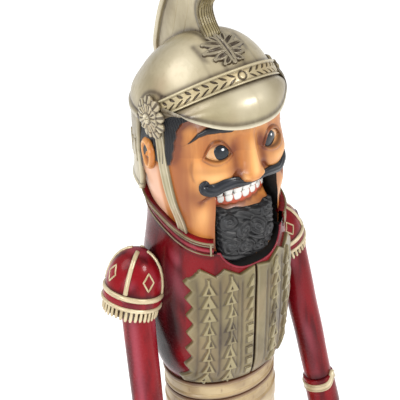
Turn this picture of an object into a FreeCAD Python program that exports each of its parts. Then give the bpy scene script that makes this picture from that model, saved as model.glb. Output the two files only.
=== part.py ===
import FreeCAD, Part
import os

import Sketcher

# A soldier nutcracker, 457 mm tall. Millimetres, +Z up, origin at the centre of the underside of its base.
# The figure faces -Y, so its right hand is on the -X side.

SIZES = {
    # base and legs
    "base_wide": 124, "base_deep": 108, "base_high": 24, "base_step": 10, "base_round": 6,
    "base_chamfer": 2,
    "leg_apart": 36, "boot_top": 112, "boot_reach": 27, "boot_wide": 30, "boot_toe_high": 18,
    "boot_shaft": 14, "boot_cuff": 17, "boot_cuff_high": 8, "leg_top": 176, "leg_low_radius": 14.5,
    "leg_high_radius": 16.5, "dowel_radius": 4, "dowel_reach": 14,
    # waist
    "waist_base": 196, "sash_split": 209, "torso_base": 222, "sash_thick": 2.6, "sash_gap": 0.8,
    # torso
    "plate_thick": 2.4, "plate_side": 37, "plate_tooth": 3.2, "plate_top": 303, "plate_base": 224,
    "plate_seam": 0.5,
    "plate_front": 10, "plate_teeth": 8,
    # head, neck and collar
    "collar_thick": 3.4, "collar_base": 307.5, "collar_high": 8.5, "collar_tilt": 18, "collar_front": -33.5,
    "neck_dowel_radius": 2.5, "neck_dowel_side": 25.5, "neck_dowel_back": 13, "neck_dowel_base": 300,
    "neck_dowel_top": 320,
    # jaw mechanism
    "pivot_back": -2, "pivot_high": 320, "pin_radius": 2, "pin_play": 0.05, "pin_half": 31,
    "slot_wide": 40, "slot_base": 296.4, "slot_corner": 17, "slot_reach": 38, "channel_base": 282,
    "channel_top": 334, "lever_wide": 36.5, "swing_radius": 36.9, "jaw_front": -29.7, "jaw_top": 337.7,
    "mouth_line": 338, "mouth_roof": 346, "mouth_back": -6, "lever_base": 283, "elbow_top": 290,
    "elbow_cut": 5,
    "handle_inner": 41, "handle_outer": 48, "handle_base": 222, "handle_neck": 4,
    # teeth, beard, nose and moustache
    "teeth_wide": 38, "teeth_deep": 4.4, "teeth_front": -31.4, "low_teeth_high": 7, "beard_wide": 35,
    "beard_top": 330, "beard_base": 297.5,
    "nose_top": 376, "nose_base": 350, "nose_tip": -41.5, "nose_wide": 15, "nose_bridge": 7,
    "nose_bridge_front": -36.4,
    "moustache_wide": 56, "moustache_high": 8, "moustache_mid": 348, "moustache_thick": 3.5,
    "moustache_curl": 3,
    "ear_side": 36.4, "ear_back": 0.6, "ear_high": 362, "ear_out": 4.2, "ear_half_deep": 7.2,
    "ear_half_high": 9,
    # helmet
    "dome_base": 380, "dome_x": 38, "dome_y": 42, "dome_z": 41, "dome_back": 1.5,
    "band_thick": 1.8, "band_wide": 8.5, "band_tilt": 35, "band_high": 405, "band_front": -32,
    "band_end": -9, "band_lead": 40,
    "visor_x": 39.5, "visor_y": 48, "visor_z": 24, "visor_base": 380, "visor_thick": 2.2, "visor_tilt": 18,
    "visor_drop": 15,
    "visor_back": -19,
    "guard_edge": 9.5, "guard_tilt": 1, "guard_base": 334,
    "comb_thick": 10,
    "emblem_thick": 1.6, "emblem_wide": 27, "emblem_low": -29, "emblem_high": -11,
    "rosette_radius": 11.5, "rosette_thick": 4, "rosette_side": 38.6, "rosette_back": -5.5,
    "rosette_height": 385,
    "strap_wide": 7, "strap_thick": 1.8, "strap_back": -15.5, "strap_mid": 350, "strap_long": 58,
    "strap_tilt": 10.5,
    # arms
    "shoulder_side": 52.5, "shoulder_back": 2.5, "shoulder_high": 282, "cap_tilt": 17, "cap_radius": 17,
    "cap_high": 24, "cap_thick": 2.6, "trim_radius": 18.4, "trim_base": -7.5, "trim_top": 1.2,
    "fringe_radius": 15.6,
    "fringe_base": -14, "arm_splay": 4.8, "arm_forward": 10, "sleeve_high": 9.2, "sleeve_low": 8.3,
    "sleeve_long": 118,
    "sleeve_top": 12, "cuff_radius": 9.8, "cuff_long": 22, "hand_radius": 8.6, "hand_long": 30,
    "shoulder_dowel": 3, "shoulder_dowel_in": 34, "shoulder_dowel_out": 51,
    # a length that reaches past the figure on every side, for the blocks that only trim
    "far": 60,
}

# Cross-sections from bottom to top: height, half width along X, half depth along Y, centre along Y.
STACKS = {
    "hips": [(170, 30, 22, 1), (178, 34.5, 27, 2), (187, 35.5, 28.5, 2.5), (196, 34, 28, 2.5)],
    "waist": [(196, 32.2, 26.8, 2.5), (209, 31.6, 26.2, 2.4), (222, 32.4, 26.8, 1.8)],
    "torso": [(222, 34, 28, 1.5), (230, 38, 30.5, 0.6), (249, 42, 33, 0), (273, 43.5, 35.5, 0),
              (294, 41, 37, 0), (304, 38.4, 36.4, 0), (313, 36.4, 36, 0), (332, 35.6, 35.4, 0)],
    "head": [(311, 32.4, 32.6, 0), (324, 32.6, 33.2, 0), (337, 35.2, 35.4, 0), (350, 37.1, 37.2, 0),
             (363, 37.2, 37.6, 0), (374, 35.8, 36.6, 0), (385, 33, 34.6, 0.5),
             (396, 28, 30.4, 1), (404, 21, 23.5, 1.5)],
    "guard": [(334, 40.2, 44.2, 1.5), (346, 38.9, 42.9, 1.5), (362, 38.6, 42.5, 1.5),
              (380, 38, 42, 1.5)],
    "guard_hollow": [(328, 39.4, 43.4, 1.5), (334, 38.3, 42, 1.5), (346, 37.6, 40.8, 1.5),
                     (362, 37.5, 40.4, 1.5), (380, 36, 39.6, 1.5)],
}
STACK_PARTS = ("high", "half_x", "half_y", "shift")

# The comb's side outline as (y, z), from the foot of its front edge, over the top and down its back.
COMB = [(-10, 415), (-10, 421), (-3.5, 430), (-8.5, 439), (-15.5, 445), (-17, 453), (-10, 456.2), (-2, 457),
        (21, 441), (38.5, 406), (42, 392), (28, 392)]

# The zigzag top of a breastplate: a share of its width and a rise from its highest line.
PLATE_CREST = [(0.7, -8), (0.52, 2), (0.38, -6), (0.22, -2)]
PLATE_SEAM_DROP = 6

# How far an arc's middle stands from its corner, as a share of its radius.
ARC_SHARE = 1 - 2 ** -0.5

doc = FreeCAD.newDocument("nutcracker")
sheet = doc.addObject("Spreadsheet::Sheet", "Sizes")


def fill_sheet():
    """Writes every size to the sheet, each under its own alias."""
    cells = dict(SIZES)
    for stack, sections in STACKS.items():
        for number, section in enumerate(sections):
            for part, value in zip(STACK_PARTS, section):
                cells[f"{stack}_{part}_{number}"] = value
    for number, (back, high) in enumerate(COMB):
        cells[f"comb_back_{number}"], cells[f"comb_high_{number}"] = back, high
    for row, (alias, value) in enumerate(cells.items(), start=1):
        sheet.set(f"A{row}", alias)
        sheet.set(f"B{row}", str(value))
        sheet.setAlias(f"B{row}", alias)
    doc.recompute()


def size(expression):
    """The present value of an expression over the sheet's aliases."""
    return float(sheet.evalExpression(expression))


def bind(thing, **expressions):
    """Ties properties to expressions over the sheet; a dot in a property is written as two underscores."""
    for name, expression in expressions.items():
        thing.setExpression(name.replace("__", "."), named(expression))


def named(expression):
    """The expression with each alias written as a cell of the sheet."""
    words, word = [], ""
    for sign in expression + " ":
        if sign.isalnum() or sign == "_":
            word += sign
            continue
        words.append(f"Sizes.{word}" if sheet.getCellFromAlias(word) else word)
        words.append(sign)
        word = ""
    return "".join(words).strip()


def place(thing, x="0", y="0", z="0", turn_axis=None, turn="0"):
    """Puts a shape at a point, turned about one of its own axes."""
    if turn_axis:
        thing.Placement = FreeCAD.Placement(FreeCAD.Vector(), FreeCAD.Rotation(turn_axis, 1))
        bind(thing, Placement__Rotation__Angle=f"({turn}) * 1 deg")
    bind(thing, Placement__Base__x=x, Placement__Base__y=y, Placement__Base__z=z)
    return thing


X_AXIS = FreeCAD.Vector(1, 0, 0)
Y_AXIS = FreeCAD.Vector(0, 1, 0)
Z_AXIS = FreeCAD.Vector(0, 0, 1)


def box(name, x, y, z, wide, deep, high):
    """A block, given by its lowest corner and its sides."""
    block = doc.addObject("Part::Box", name)
    bind(block, Length=wide, Width=deep, Height=high)
    return place(block, x, y, z)


def rod(name, radius, long, x, y, z, axis=None, turn="90"):
    """A round bar that starts at a point, upright unless it is turned."""
    bar = doc.addObject("Part::Cylinder", name)
    bind(bar, Radius=radius, Height=long)
    return place(bar, x, y, z, axis, turn)


def egg(name, half_x, half_y, half_z, x, y, z):
    """A full ellipsoid."""
    ball = doc.addObject("Part::Ellipsoid", name)
    ball.Angle1 = -90
    bind(ball, Radius1=half_z, Radius2=half_x, Radius3=half_y)
    return place(ball, x, y, z)


def loft(name, stack, grow="0"):
    """A solid through the stack's elliptical sections, grown outwards by an amount."""
    rings = []
    _, half_x, half_y, _ = STACKS[stack][0]
    along_y = half_y >= half_x
    for number in range(len(STACKS[stack])):
        ring = doc.addObject("Part::Ellipse", f"{name}_ring_{number}")
        wide, deep = f"{stack}_half_x_{number} + {grow}", f"{stack}_half_y_{number} + {grow}"
        if along_y:
            bind(ring, MajorRadius=f"max({deep}; {wide})", MinorRadius=wide)
        else:
            bind(ring, MajorRadius=wide, MinorRadius=deep)
        place(ring, "0", f"{stack}_shift_{number}", f"{stack}_high_{number}", Z_AXIS, "90"
              if along_y else "0")
        rings.append(ring)
    solid = doc.addObject("Part::Loft", name)
    solid.Sections = rings
    solid.Solid = True
    return solid


def cut(name, base, *tools):
    """The base with each tool taken away in turn."""
    for number, tool in enumerate(tools):
        result = doc.addObject("Part::Cut", name if number == len(tools) - 1 else f"{name}_cut_{number}")
        result.Base = base
        result.Tool = tool
        base = result
    return base


def common(name, *shapes):
    """What all the shapes share."""
    result = doc.addObject("Part::MultiCommon", name)
    result.Shapes = list(shapes)
    return result


def fuse(name, *shapes):
    """The shapes as one solid."""
    result = doc.addObject("Part::MultiFuse", name)
    result.Shapes = list(shapes)
    return result


def group(name, *shapes):
    """Separate solids that are one kind of piece."""
    result = doc.addObject("Part::Compound", name)
    result.Links = list(shapes)
    return result


def body_of(name):
    return doc.addObject("PartDesign::Body", name)


def plane_of(body, role):
    return next(feature for feature in body.Origin.OriginFeatures if feature.Role == role)


def outline(body, name, role, start, *steps, lift="0"):
    """A closed outline on an origin plane. A step is a corner, or an arc's middle and end."""
    sketch = body.newObject("Sketcher::SketchObject", name)
    sketch.AttachmentSupport = (plane_of(body, role), [""])
    sketch.MapMode = "FlatFace"
    bind(sketch, AttachmentOffset__Base__z=lift)
    corners, here = [], start
    closing = [] if steps[-1][-1] == start else [start]
    for step in list(steps) + closing:
        arc = isinstance(step[0], tuple)
        end = step[1] if arc else step
        if arc:
            edge = sketch.addGeometry(Part.Arc(point(here), point(step[0]), point(end)))
            guide = sketch.addGeometry(Part.Point(point(step[0])), True)
            sketch.addConstraint(Sketcher.Constraint("PointOnObject", guide, 1, edge))
            pin_down(sketch, guide, 1, step[0])
            gaps = [(sketch.getPoint(edge, end_point) - point(here)).Length for end_point in (1, 2)]
            turned = gaps[0] > gaps[1]
        else:
            edge = sketch.addGeometry(Part.LineSegment(point(here), point(end)))
            turned = False
        tail, head = (2, 1) if turned else (1, 2)
        pin_down(sketch, edge, tail, here)
        corners.append((edge, tail, head))
        here = end
    for (edge, _, head), (after, tail, _) in zip(corners, corners[1:] + corners[:1]):
        sketch.addConstraint(Sketcher.Constraint("Coincident", edge, head, after, tail))
    return sketch


def point(pair):
    return FreeCAD.Vector(size(named(pair[0])), size(named(pair[1])), 0)


def pin_down(sketch, edge, end, pair):
    """Fixes one point of an outline at the two expressions of a pair."""
    for kind, expression, value in zip(("DistanceX", "DistanceY"), pair, point(pair)):
        number = sketch.addConstraint(Sketcher.Constraint(kind, -1, 1, edge, end, value))
        sketch.setExpression(f"Constraints[{number}]", named(expression))


def plank(name, role, long, start, *steps):
    """An outline drawn on an upright plane through the origin and made thick to both sides of it."""
    body = body_of(name)
    sketch = outline(body, f"{name}_outline", role, start, *steps)
    pad = body.newObject("PartDesign::Pad", f"{name}_pad")
    pad.Profile = sketch
    pad.SideType = "Symmetric"
    bind(pad, Length=long)
    return body


def turned(name, start, *steps):
    """A half outline, in radius and height, turned round the Z axis."""
    body = body_of(name)
    sketch = outline(body, f"{name}_outline", "XZ_Plane", start, *steps)
    revolution = body.newObject("PartDesign::Revolution", f"{name}_turn")
    revolution.Profile = sketch
    revolution.ReferenceAxis = (sketch, ["V_Axis"])
    revolution.Angle = 360
    return body


def sided(name):
    """The name and sign of each side: the figure's right is -X."""
    return [(f"{name}_right", "-1"), (f"{name}_left", "1")]


parts = {}


def keep(label, thing):
    """Marks a finished sub-part, whose label names its file."""
    thing.Label = label
    parts[label] = thing
    return thing


def rounded_corners(half_x, half_y, radius):
    """A rectangle with rounded corners, as an outline's start and steps."""
    near = f"{radius} * (1 - cos(45 * 1 deg))"
    start, steps = (f"-({half_x})", f"-({half_y}) + {radius}"), []
    for x, y, along_first in (("-", "-", False), ("", "-", True), ("", "", False), ("-", "", True)):
        back_x = "-" if x == "" else "+"
        back_y = "-" if y == "" else "+"
        middle = (f"{x}({half_x}) {back_x} {near}", f"{y}({half_y}) {back_y} {near}")
        on_x_side = (f"{x}({half_x}) {back_x} {radius}", f"{y}({half_y})")
        on_y_side = (f"{x}({half_x})", f"{y}({half_y}) {back_y} {radius}")
        before, after = (on_x_side, on_y_side) if along_first else (on_y_side, on_x_side)
        if before != start:
            steps.append(before)
        steps.append((middle, after))
    return start, steps


def make_base():
    body = body_of("base_body")
    for name, inset, high in (("lower", "0", "base_high - base_step"),
                              ("upper", "base_step / 2", "base_high")):
        start, steps = rounded_corners(f"base_wide / 2 - {inset}", f"base_deep / 2 - {inset}", "base_round")
        sketch = outline(body, f"base_{name}", "XY_Plane", start, *steps)
        pad = body.newObject("PartDesign::Pad", f"base_{name}_pad")
        pad.Profile = sketch
        bind(pad, Length=high)
    doc.recompute()
    top = max(range(len(pad.Shape.Faces)), key=lambda number: pad.Shape.Faces[number].CenterOfMass.z)
    chamfer = body.newObject("PartDesign::Chamfer", "base_top_edge")
    chamfer.Base = (pad, [f"Face{top + 1}"])
    bind(chamfer, Size="base_chamfer")
    body.Tip = chamfer
    holes = [rod(f"base_hole_{side}", "dowel_radius", "dowel_reach", f"{side} * leg_apart / 2", "0",
                 "base_high - dowel_reach / 2") for side in (-1, 1)]
    keep("base_plinth", cut("base_plinth", body, *holes))


def make_legs():
    dowels = []
    for label, side in sided("boot"):
        across = f"{side} * leg_apart / 2"
        shaft = turned(f"{label}_shaft", ("0", "base_high"), ("boot_shaft", "base_high"),
                       ("boot_shaft", "boot_top - boot_cuff_high"),
                       ("boot_cuff", "boot_top - boot_cuff_high / 2"), ("boot_cuff", "boot_top"),
                       ("0", "boot_top"))
        place(shaft, across)
        foot = egg(f"{label}_foot", "boot_wide / 2", "boot_reach", "boot_toe_high", across, "-boot_reach / 3",
                   "base_high")
        above = box(f"{label}_above", f"{across} - boot_wide", "-2 * boot_reach", "base_high",
                    "2 * boot_wide", "4 * boot_reach", "boot_toe_high * 2")
        low = rod(f"{label}_low", "dowel_radius", "dowel_reach", across, "0", "base_high - dowel_reach / 2")
        high = rod(f"{label}_high", "dowel_radius", "dowel_reach", across, "0", "boot_top - dowel_reach / 2")
        keep(label, cut(label, fuse(f"{label}_whole", shaft, common(f"{label}_toe", foot, above)), low, high))
        dowels += [low, high]
    for label, side in sided("trouser_leg"):
        leg = turned(f"{label}_turned", ("0", "boot_top"), ("leg_low_radius", "boot_top"),
                     (("leg_high_radius", "(boot_top + leg_top) / 2"), ("leg_high_radius", "leg_top")),
                     ("0", "leg_top"))
        place(leg, f"{side} * leg_apart / 2")
        ends = [rod(f"{label}_hole_{end}", "dowel_radius", "dowel_reach", f"{side} * leg_apart / 2", "0",
                    f"{end} - dowel_reach / 2") for end in ("boot_top", "leg_top")]
        hips = loft(f"{label}_hips", "hips")
        dowels.append(ends[1])
        keep(label, cut(label, leg, *ends, hips))
    keep("leg_dowels", group("leg_dowels", *dowels))
    return dowels[-2:]


def make_waist(hip_dowels):
    keep("hip_block", cut("hip_block", loft("hip_loft", "hips"), *hip_dowels))
    core = loft("waist_core", "waist")
    keep("waist_block", core)
    outer = loft("sash_loft", "waist", "sash_thick")
    for label, low, high in (("sash_lower", "waist_base", "sash_split"),
                             ("sash_upper", "sash_split", "torso_base")):
        band = box(f"{label}_region", "-far", "-far", f"{low} + sash_gap / 2", "2 * far", "2 * far",
                   f"{high} - {low} - sash_gap")
        keep(label, cut(label, common(f"{label}_ring", outer, band), core))


def slot_tools():
    """The space that the jaw lever swings in, and the pin's bore: cut from the torso, head and collar."""
    across, half = "slot_wide", "-slot_wide / 2"
    swing = rod("slot_swing", "slot_reach", across, half, "pivot_back", "pivot_high", Y_AXIS)
    front = box("slot_front", half, "-far", "channel_base", across, "pivot_back + far",
                "mouth_line - channel_base")
    bow = common("slot_bow", swing, front)
    bend = f"slot_corner * {ARC_SHARE}"
    window = plank("slot_window", "XZ_Plane", "far", ("-slot_wide / 2", "mouth_line"),
                   ("-slot_wide / 2", "slot_base + slot_corner"),
                   ((f"-slot_wide / 2 + {bend}", f"slot_base + {bend}"),
                    ("-slot_wide / 2 + slot_corner", "slot_base")),
                   ("slot_wide / 2 - slot_corner", "slot_base"),
                   ((f"slot_wide / 2 - {bend}", f"slot_base + {bend}"),
                    ("slot_wide / 2", "slot_base + slot_corner")),
                   ("slot_wide / 2", "mouth_line"))
    place(window, "0", "slot_reach - far - 20")
    channel = box("slot_channel", half, "pivot_back - 8", "channel_base", across, "far",
                  "channel_top - channel_base")
    roof = box("slot_roof", half, "-far", "channel_top", across, "far + mouth_back",
               "mouth_roof - channel_top")
    slope = box("slot_slope", half, "-far", "slot_base + 5.6", across, "far + mouth_back",
                "mouth_line - slot_base - 5.6")
    bore = rod("pin_bore", "pin_radius", "2 * pin_half", "-pin_half", "pivot_back", "pivot_high", Y_AXIS)
    return fuse("slot_space", bow, window, channel, roof, slope), bore


def make_torso(slot):
    torso = loft("torso_loft", "torso")
    pegs = [rod(f"neck_peg_{side}", "neck_dowel_radius", "neck_dowel_top - neck_dowel_base",
                f"{side} * neck_dowel_side", "neck_dowel_back", "neck_dowel_base") for side in (-1, 1)]
    keep("neck_dowels", group("neck_dowels", *pegs))
    arm_pegs = [rod(f"arm_peg_{side}", "shoulder_dowel", "shoulder_dowel_out - shoulder_dowel_in",
                    "shoulder_dowel_in" if side == 1 else "-shoulder_dowel_out", "shoulder_back",
                    "shoulder_high", Y_AXIS) for side in (-1, 1)]
    keep("arm_dowels", group("arm_dowels", *arm_pegs))
    neckline = tilted_slab("neckline", "-far", "2 * far", "far")
    neck = loft("torso_neck", "head")
    shoulders = cut("torso_shoulders", torso, neckline, neck)
    keep("torso_block", cut("torso_block", torso, slot, *pegs, *arm_pegs, neckline, neck))
    return shoulders, pegs, arm_pegs


def tilted_slab(name, x, wide, high):
    """A slab resting on the neckline, the slanting plane where the collar meets the torso."""
    slab = box(name, "0", "0", "0", wide, "2.5 * far", high)
    return place(slab, x, "collar_front - far * cos(collar_tilt * 1 deg)",
                 "collar_base - far * sin(collar_tilt * 1 deg)", X_AXIS, "collar_tilt")


def make_breastplates(torso, slot):
    outer = loft("plate_loft", "torso", "plate_thick")
    rise = "((plate_top - plate_base) / plate_teeth)"
    for label, side in sided("breastplate"):
        steps = []
        for tooth in range(SIZES["plate_teeth"]):
            low = f"plate_base + {tooth} * {rise}"
            steps.append((f"{side} * plate_side", f"{low} + {rise} / 2"))
            steps.append((f"{side} * (plate_side - plate_tooth)", f"{low} + {rise}"))
        top = [(f"{side} * plate_side * {share}", f"plate_top + {lift}") for share, lift in PLATE_CREST]
        top.append((f"{side} * plate_seam / 2", f"plate_top - {PLATE_SEAM_DROP}"))
        body = body_of(f"{label}_outline")
        sketch = outline(body, f"{label}_sketch", "XZ_Plane", (f"{side} * plate_seam / 2", "plate_base"),
                         (f"{side} * (plate_side - plate_tooth)", "plate_base"), *steps, *top)
        pad = body.newObject("PartDesign::Pad", f"{label}_pad")
        pad.Profile = sketch
        bind(pad, Length="far")
        place(body, "0", "-plate_front")
        keep(label, cut(label, common(f"{label}_shell", outer, body), torso, slot))


def make_head(slot, bore, pegs):
    head = loft("head_loft", "head")
    keep("head_block", cut("head_block", head, slot, bore, *pegs))
    for label, side in sided("ear"):
        ear = egg(f"{label}_egg", "ear_out", "ear_half_deep", "ear_half_high", f"{side} * ear_side",
                  "ear_back", "ear_high")
        keep(label, cut(label, ear, head))
    body = body_of("nose_body")
    sketch = outline(body, "nose_side", "YZ_Plane", ("-20", "nose_top"), ("nose_bridge_front", "nose_top"),
                     (("(nose_bridge_front + nose_tip) / 2 + 1", "(nose_top + nose_base) / 2 + 2"),
                      ("nose_tip", "nose_base + 4")), ("nose_tip + 2", "nose_base"), ("-20", "nose_base"))
    pad = body.newObject("PartDesign::Pad", "nose_pad")
    pad.Profile = sketch
    pad.SideType = "Symmetric"
    bind(pad, Length="nose_wide")
    wedge = plank("nose_front", "XZ_Plane", "2 * far", ("-nose_wide / 2", "nose_base - 1"),
                  ("nose_wide / 2", "nose_base - 1"), ("nose_wide / 2", "nose_base + 7"),
                  ("nose_bridge / 2", "nose_top + 1"), ("-nose_bridge / 2", "nose_top + 1"),
                  ("-nose_wide / 2", "nose_base + 7"))
    keep("nose", cut("nose", common("nose_whole", body, wedge), head))
    keep("jaw_pin", rod("jaw_pin", "pin_radius", "2 * pin_half", "-pin_half", "pivot_back", "pivot_high",
                        Y_AXIS))
    return head


def make_collar(head, torso, slot):
    outer = loft("collar_loft", "head", "collar_thick")
    for label, side in sided("collar"):
        region = tilted_slab(f"{label}_region", "0" if side == "1" else "-far", "far", "collar_high")
        keep(label, cut(label, common(f"{label}_band", outer, region), head, torso, slot))


def make_face(head):
    strip = box("teeth_strip", "-teeth_wide / 2", "teeth_front", "mouth_line", "teeth_wide", "teeth_deep",
                "mouth_roof - mouth_line")
    keep("upper_teeth", strip)
    curl = plank("moustache_shape", "XZ_Plane", "4 * far", ("0", "moustache_mid - moustache_high / 2 + 1"),
                 (("moustache_wide / 4", "moustache_mid - moustache_high / 2 - 1"),
                  ("moustache_wide / 2", "moustache_mid")),
                 ("moustache_wide / 2 - moustache_curl", "moustache_mid + moustache_high / 2"),
                 (("moustache_wide / 4", "moustache_mid + moustache_high / 3"),
                  ("0", "moustache_mid + moustache_high / 2")),
                 (("-moustache_wide / 4", "moustache_mid + moustache_high / 3"),
                  ("-moustache_wide / 2 + moustache_curl", "moustache_mid + moustache_high / 2")),
                 ("-moustache_wide / 2", "moustache_mid"),
                 (("-moustache_wide / 4", "moustache_mid - moustache_high / 2 - 1"),
                  ("0", "moustache_mid - moustache_high / 2 + 1")))
    front = loft("moustache_loft", "head", "moustache_thick")
    half = box("moustache_front", "-far", "-far", "slot_base", "2 * far", "far - 20", "2 * far")
    keep("moustache", cut("moustache", common("moustache_whole", curl, front, half), head, parts["nose"],
                          strip))


def make_jaw(bore):
    half, across = "-lever_wide / 2", "lever_wide"
    front = box("lever_front", half, "jaw_front", "lever_base - 5", across, "pivot_back - jaw_front",
                "jaw_top - lever_base + 5")
    swing = rod("lever_swing", "swing_radius", across, half, "pivot_back", "pivot_high", Y_AXIS)
    jaw = common("lever_jaw", front, swing)
    beam = plank("lever_beam", "YZ_Plane", across, ("pivot_back - 6", "jaw_top"),
                 ("pivot_back - 12", "pivot_high"), ("pivot_back - 2", "lever_base + 0.5"),
                 ("handle_inner - handle_neck", "lever_base + 0.5"),
                 (("handle_inner - 1.2", "lever_base - 0.7"), ("handle_inner", "lever_base - 3.5")),
                 ("handle_inner", "handle_base"), ("handle_outer", "handle_base"),
                 ("handle_outer", "elbow_top - elbow_cut"), ("handle_outer - elbow_cut", "elbow_top"))
    play = rod("lever_bore", "pin_radius + pin_play", "2 * pin_half", "-pin_half", "pivot_back",
               "pivot_high", Y_AXIS)
    notch = box("lower_teeth_strip", half, "jaw_front", "jaw_top - low_teeth_high", across, "teeth_deep",
                "low_teeth_high")
    keep("lower_teeth", notch)
    keep("jaw_lever", cut("jaw_lever", fuse("lever_whole", jaw, beam), notch, play))
    chin = box("beard_block", "-beard_wide / 2", "-far", "beard_base", "beard_wide", "far + jaw_front",
               "beard_top - beard_base")
    keep("beard", common("beard", chin, swing))


def make_helmet(head):
    egg_shape = egg("dome_egg", "dome_x", "dome_y", "dome_z", "0", "dome_back", "dome_base")
    upper = box("dome_region", "-far", "-far", "dome_base", "2 * far", "2 * far", "far")
    guard_loft = loft("guard_outer", "guard")
    keep("helmet_dome", cut("helmet_dome", common("dome_half", egg_shape, upper), head))
    guard_inner = loft("guard_inner", "guard_hollow")
    behind = box("guard_behind", "-far", "0", "0", "2 * far", "2 * far", "2 * far")
    place(behind, "-far", "guard_edge", "guard_base - far / 2", X_AXIS, "guard_tilt")
    keep("helmet_nape_guard", cut("helmet_nape_guard", common("guard_half", guard_loft, behind), guard_inner))
    band_egg = egg("band_egg", "dome_x + band_thick", "dome_y + band_thick", "dome_z + band_thick", "0",
                   "dome_back", "dome_base")
    slab = box("band_slab", "-far", "0", "0", "2 * far", "1.5 * far", "band_wide")
    place(slab, "-far", "band_front - band_lead * cos(band_tilt * 1 deg)",
          "band_high - band_wide / 2 + band_lead * sin(band_tilt * 1 deg)", X_AXIS, "-band_tilt")
    ahead = box("band_ahead", "-far", "-2 * far", "dome_base - 10", "2 * far", "2 * far + band_end",
                "2 * far")
    keep("helmet_brow_band", cut("helmet_brow_band", common("band_ring", band_egg, slab, ahead), egg_shape,
                                 head))
    make_visor(head, egg_shape)
    make_comb(egg_shape)
    emblem_egg = egg("emblem_egg", "dome_x + emblem_thick", "dome_y + emblem_thick",
                     "dome_z + emblem_thick", "0", "dome_back", "dome_base")
    patch = box("emblem_patch", "-emblem_wide / 2", "emblem_low", "dome_base + 10", "emblem_wide",
                "emblem_high - emblem_low", "far")
    keep("helmet_emblem", cut("helmet_emblem", common("emblem_shell", emblem_egg, patch), egg_shape,
                              parts["helmet_brow_band"], parts["helmet_comb"]))
    return egg_shape


def make_visor(head, dome):
    outer = egg("visor_outer", "visor_x", "visor_y", "visor_z", "0", "0", "visor_base")
    inner = egg("visor_inner", "visor_x - visor_thick", "visor_y - visor_thick", "visor_z - visor_thick",
                "0", "0", "visor_base")
    front = box("visor_front", "-far", "0", "0", "2 * far", "far", "far")
    place(front, "-far", "visor_back - far", "visor_base - visor_drop", X_AXIS, "visor_tilt")
    keep("helmet_visor", cut("helmet_visor", common("visor_half", outer, front), inner, head, dome,
                             parts["helmet_brow_band"]))


def make_comb(dome):
    spots = [(f"comb_back_{number}", f"comb_high_{number}") for number in range(len(COMB))]
    foot, back = spots[:2], spots[10:]
    neck, curl, tip, crown = (tuple(spots[start:start + 2]) for start in (2, 4, 6, 8))
    comb = plank("comb_plank", "YZ_Plane", "comb_thick", *foot, tuple(neck), tuple(curl), tuple(tip),
                 tuple(crown), *back)
    keep("helmet_comb", cut("helmet_comb", comb, dome))


def make_side_trim(head, dome):
    for label, side in sided("rosette"):
        disc = rod(f"{label}_disc", "rosette_radius", "rosette_thick",
                   f"{side} * rosette_side - rosette_thick / 2", "rosette_back", "rosette_height", Y_AXIS)
        keep(label, cut(label, disc, dome, head, parts["helmet_brow_band"], parts["helmet_nape_guard"],
                        parts["helmet_visor"]))
    outer = loft("strap_loft", "head", "strap_thick")
    for label, side in sided("chin_strap"):
        region = box(f"{label}_region", "0" if side == "1" else "-far", "-strap_wide / 2",
                     "-strap_long / 2", "far", "strap_wide", "strap_long")
        place(region, "0" if side == "1" else "-far", "strap_back", "strap_mid - strap_long / 2", X_AXIS,
              "strap_tilt")
        keep(label, cut(label, common(f"{label}_band", outer, region), head,
                        parts[label.replace("chin_strap", "ear")],
                        parts[label.replace("chin_strap", "rosette")],
                        parts[label.replace("chin_strap", "collar")], dome))


def arm_frame():
    """Where the left arm's own Z axis runs: up from the wrist to the shoulder, leaning in and back."""
    out = FreeCAD.Rotation(Y_AXIS, -size(named("arm_splay")))
    ahead = FreeCAD.Rotation(X_AXIS, -size(named("arm_forward")))
    spot = FreeCAD.Vector(*(size(named(f"shoulder_{part}")) for part in ("side", "back", "high")))
    return FreeCAD.Placement(spot, out.multiply(ahead))


def keep_pair(name, left):
    """Keeps the figure's left piece, and its mirror image as the right one."""
    keep(f"{name}_left", left)
    right = doc.addObject("Part::Mirroring", f"{name}_right")
    right.Source = left
    right.Normal = X_AXIS
    keep(f"{name}_right", right)


def make_arms(torso, peg):
    sleeve = turned("sleeve_turned", ("0", "sleeve_top - sleeve_long"),
                    ("sleeve_low", "sleeve_top - sleeve_long"), ("sleeve_high", "0"),
                    (("sleeve_high * 0.75", "sleeve_top * 0.75"), ("0", "sleeve_top")))
    wrist = "sleeve_top - sleeve_long"
    cuff = turned("cuff_turned", ("0", f"{wrist} - cuff_long"), ("cuff_radius", f"{wrist} - cuff_long"),
                  ("cuff_radius", wrist), ("0", wrist))
    fist = turned("hand_turned", ("0", f"{wrist} - cuff_long - hand_long"),
                  (("hand_radius * 0.75", f"{wrist} - cuff_long - hand_long * 0.84"),
                   ("hand_radius", f"{wrist} - cuff_long - hand_long * 0.5")),
                  ("hand_radius * 0.75", f"{wrist} - cuff_long"), ("0", f"{wrist} - cuff_long"))
    for piece in (sleeve, cuff, fist):
        piece.Placement = arm_frame()
    keep_pair("sleeve", cut("sleeve_cut", sleeve, torso, peg))
    keep_pair("cuff", cuff)
    keep_pair("hand", fist)
    make_shoulders(torso, sleeve, peg)


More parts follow.
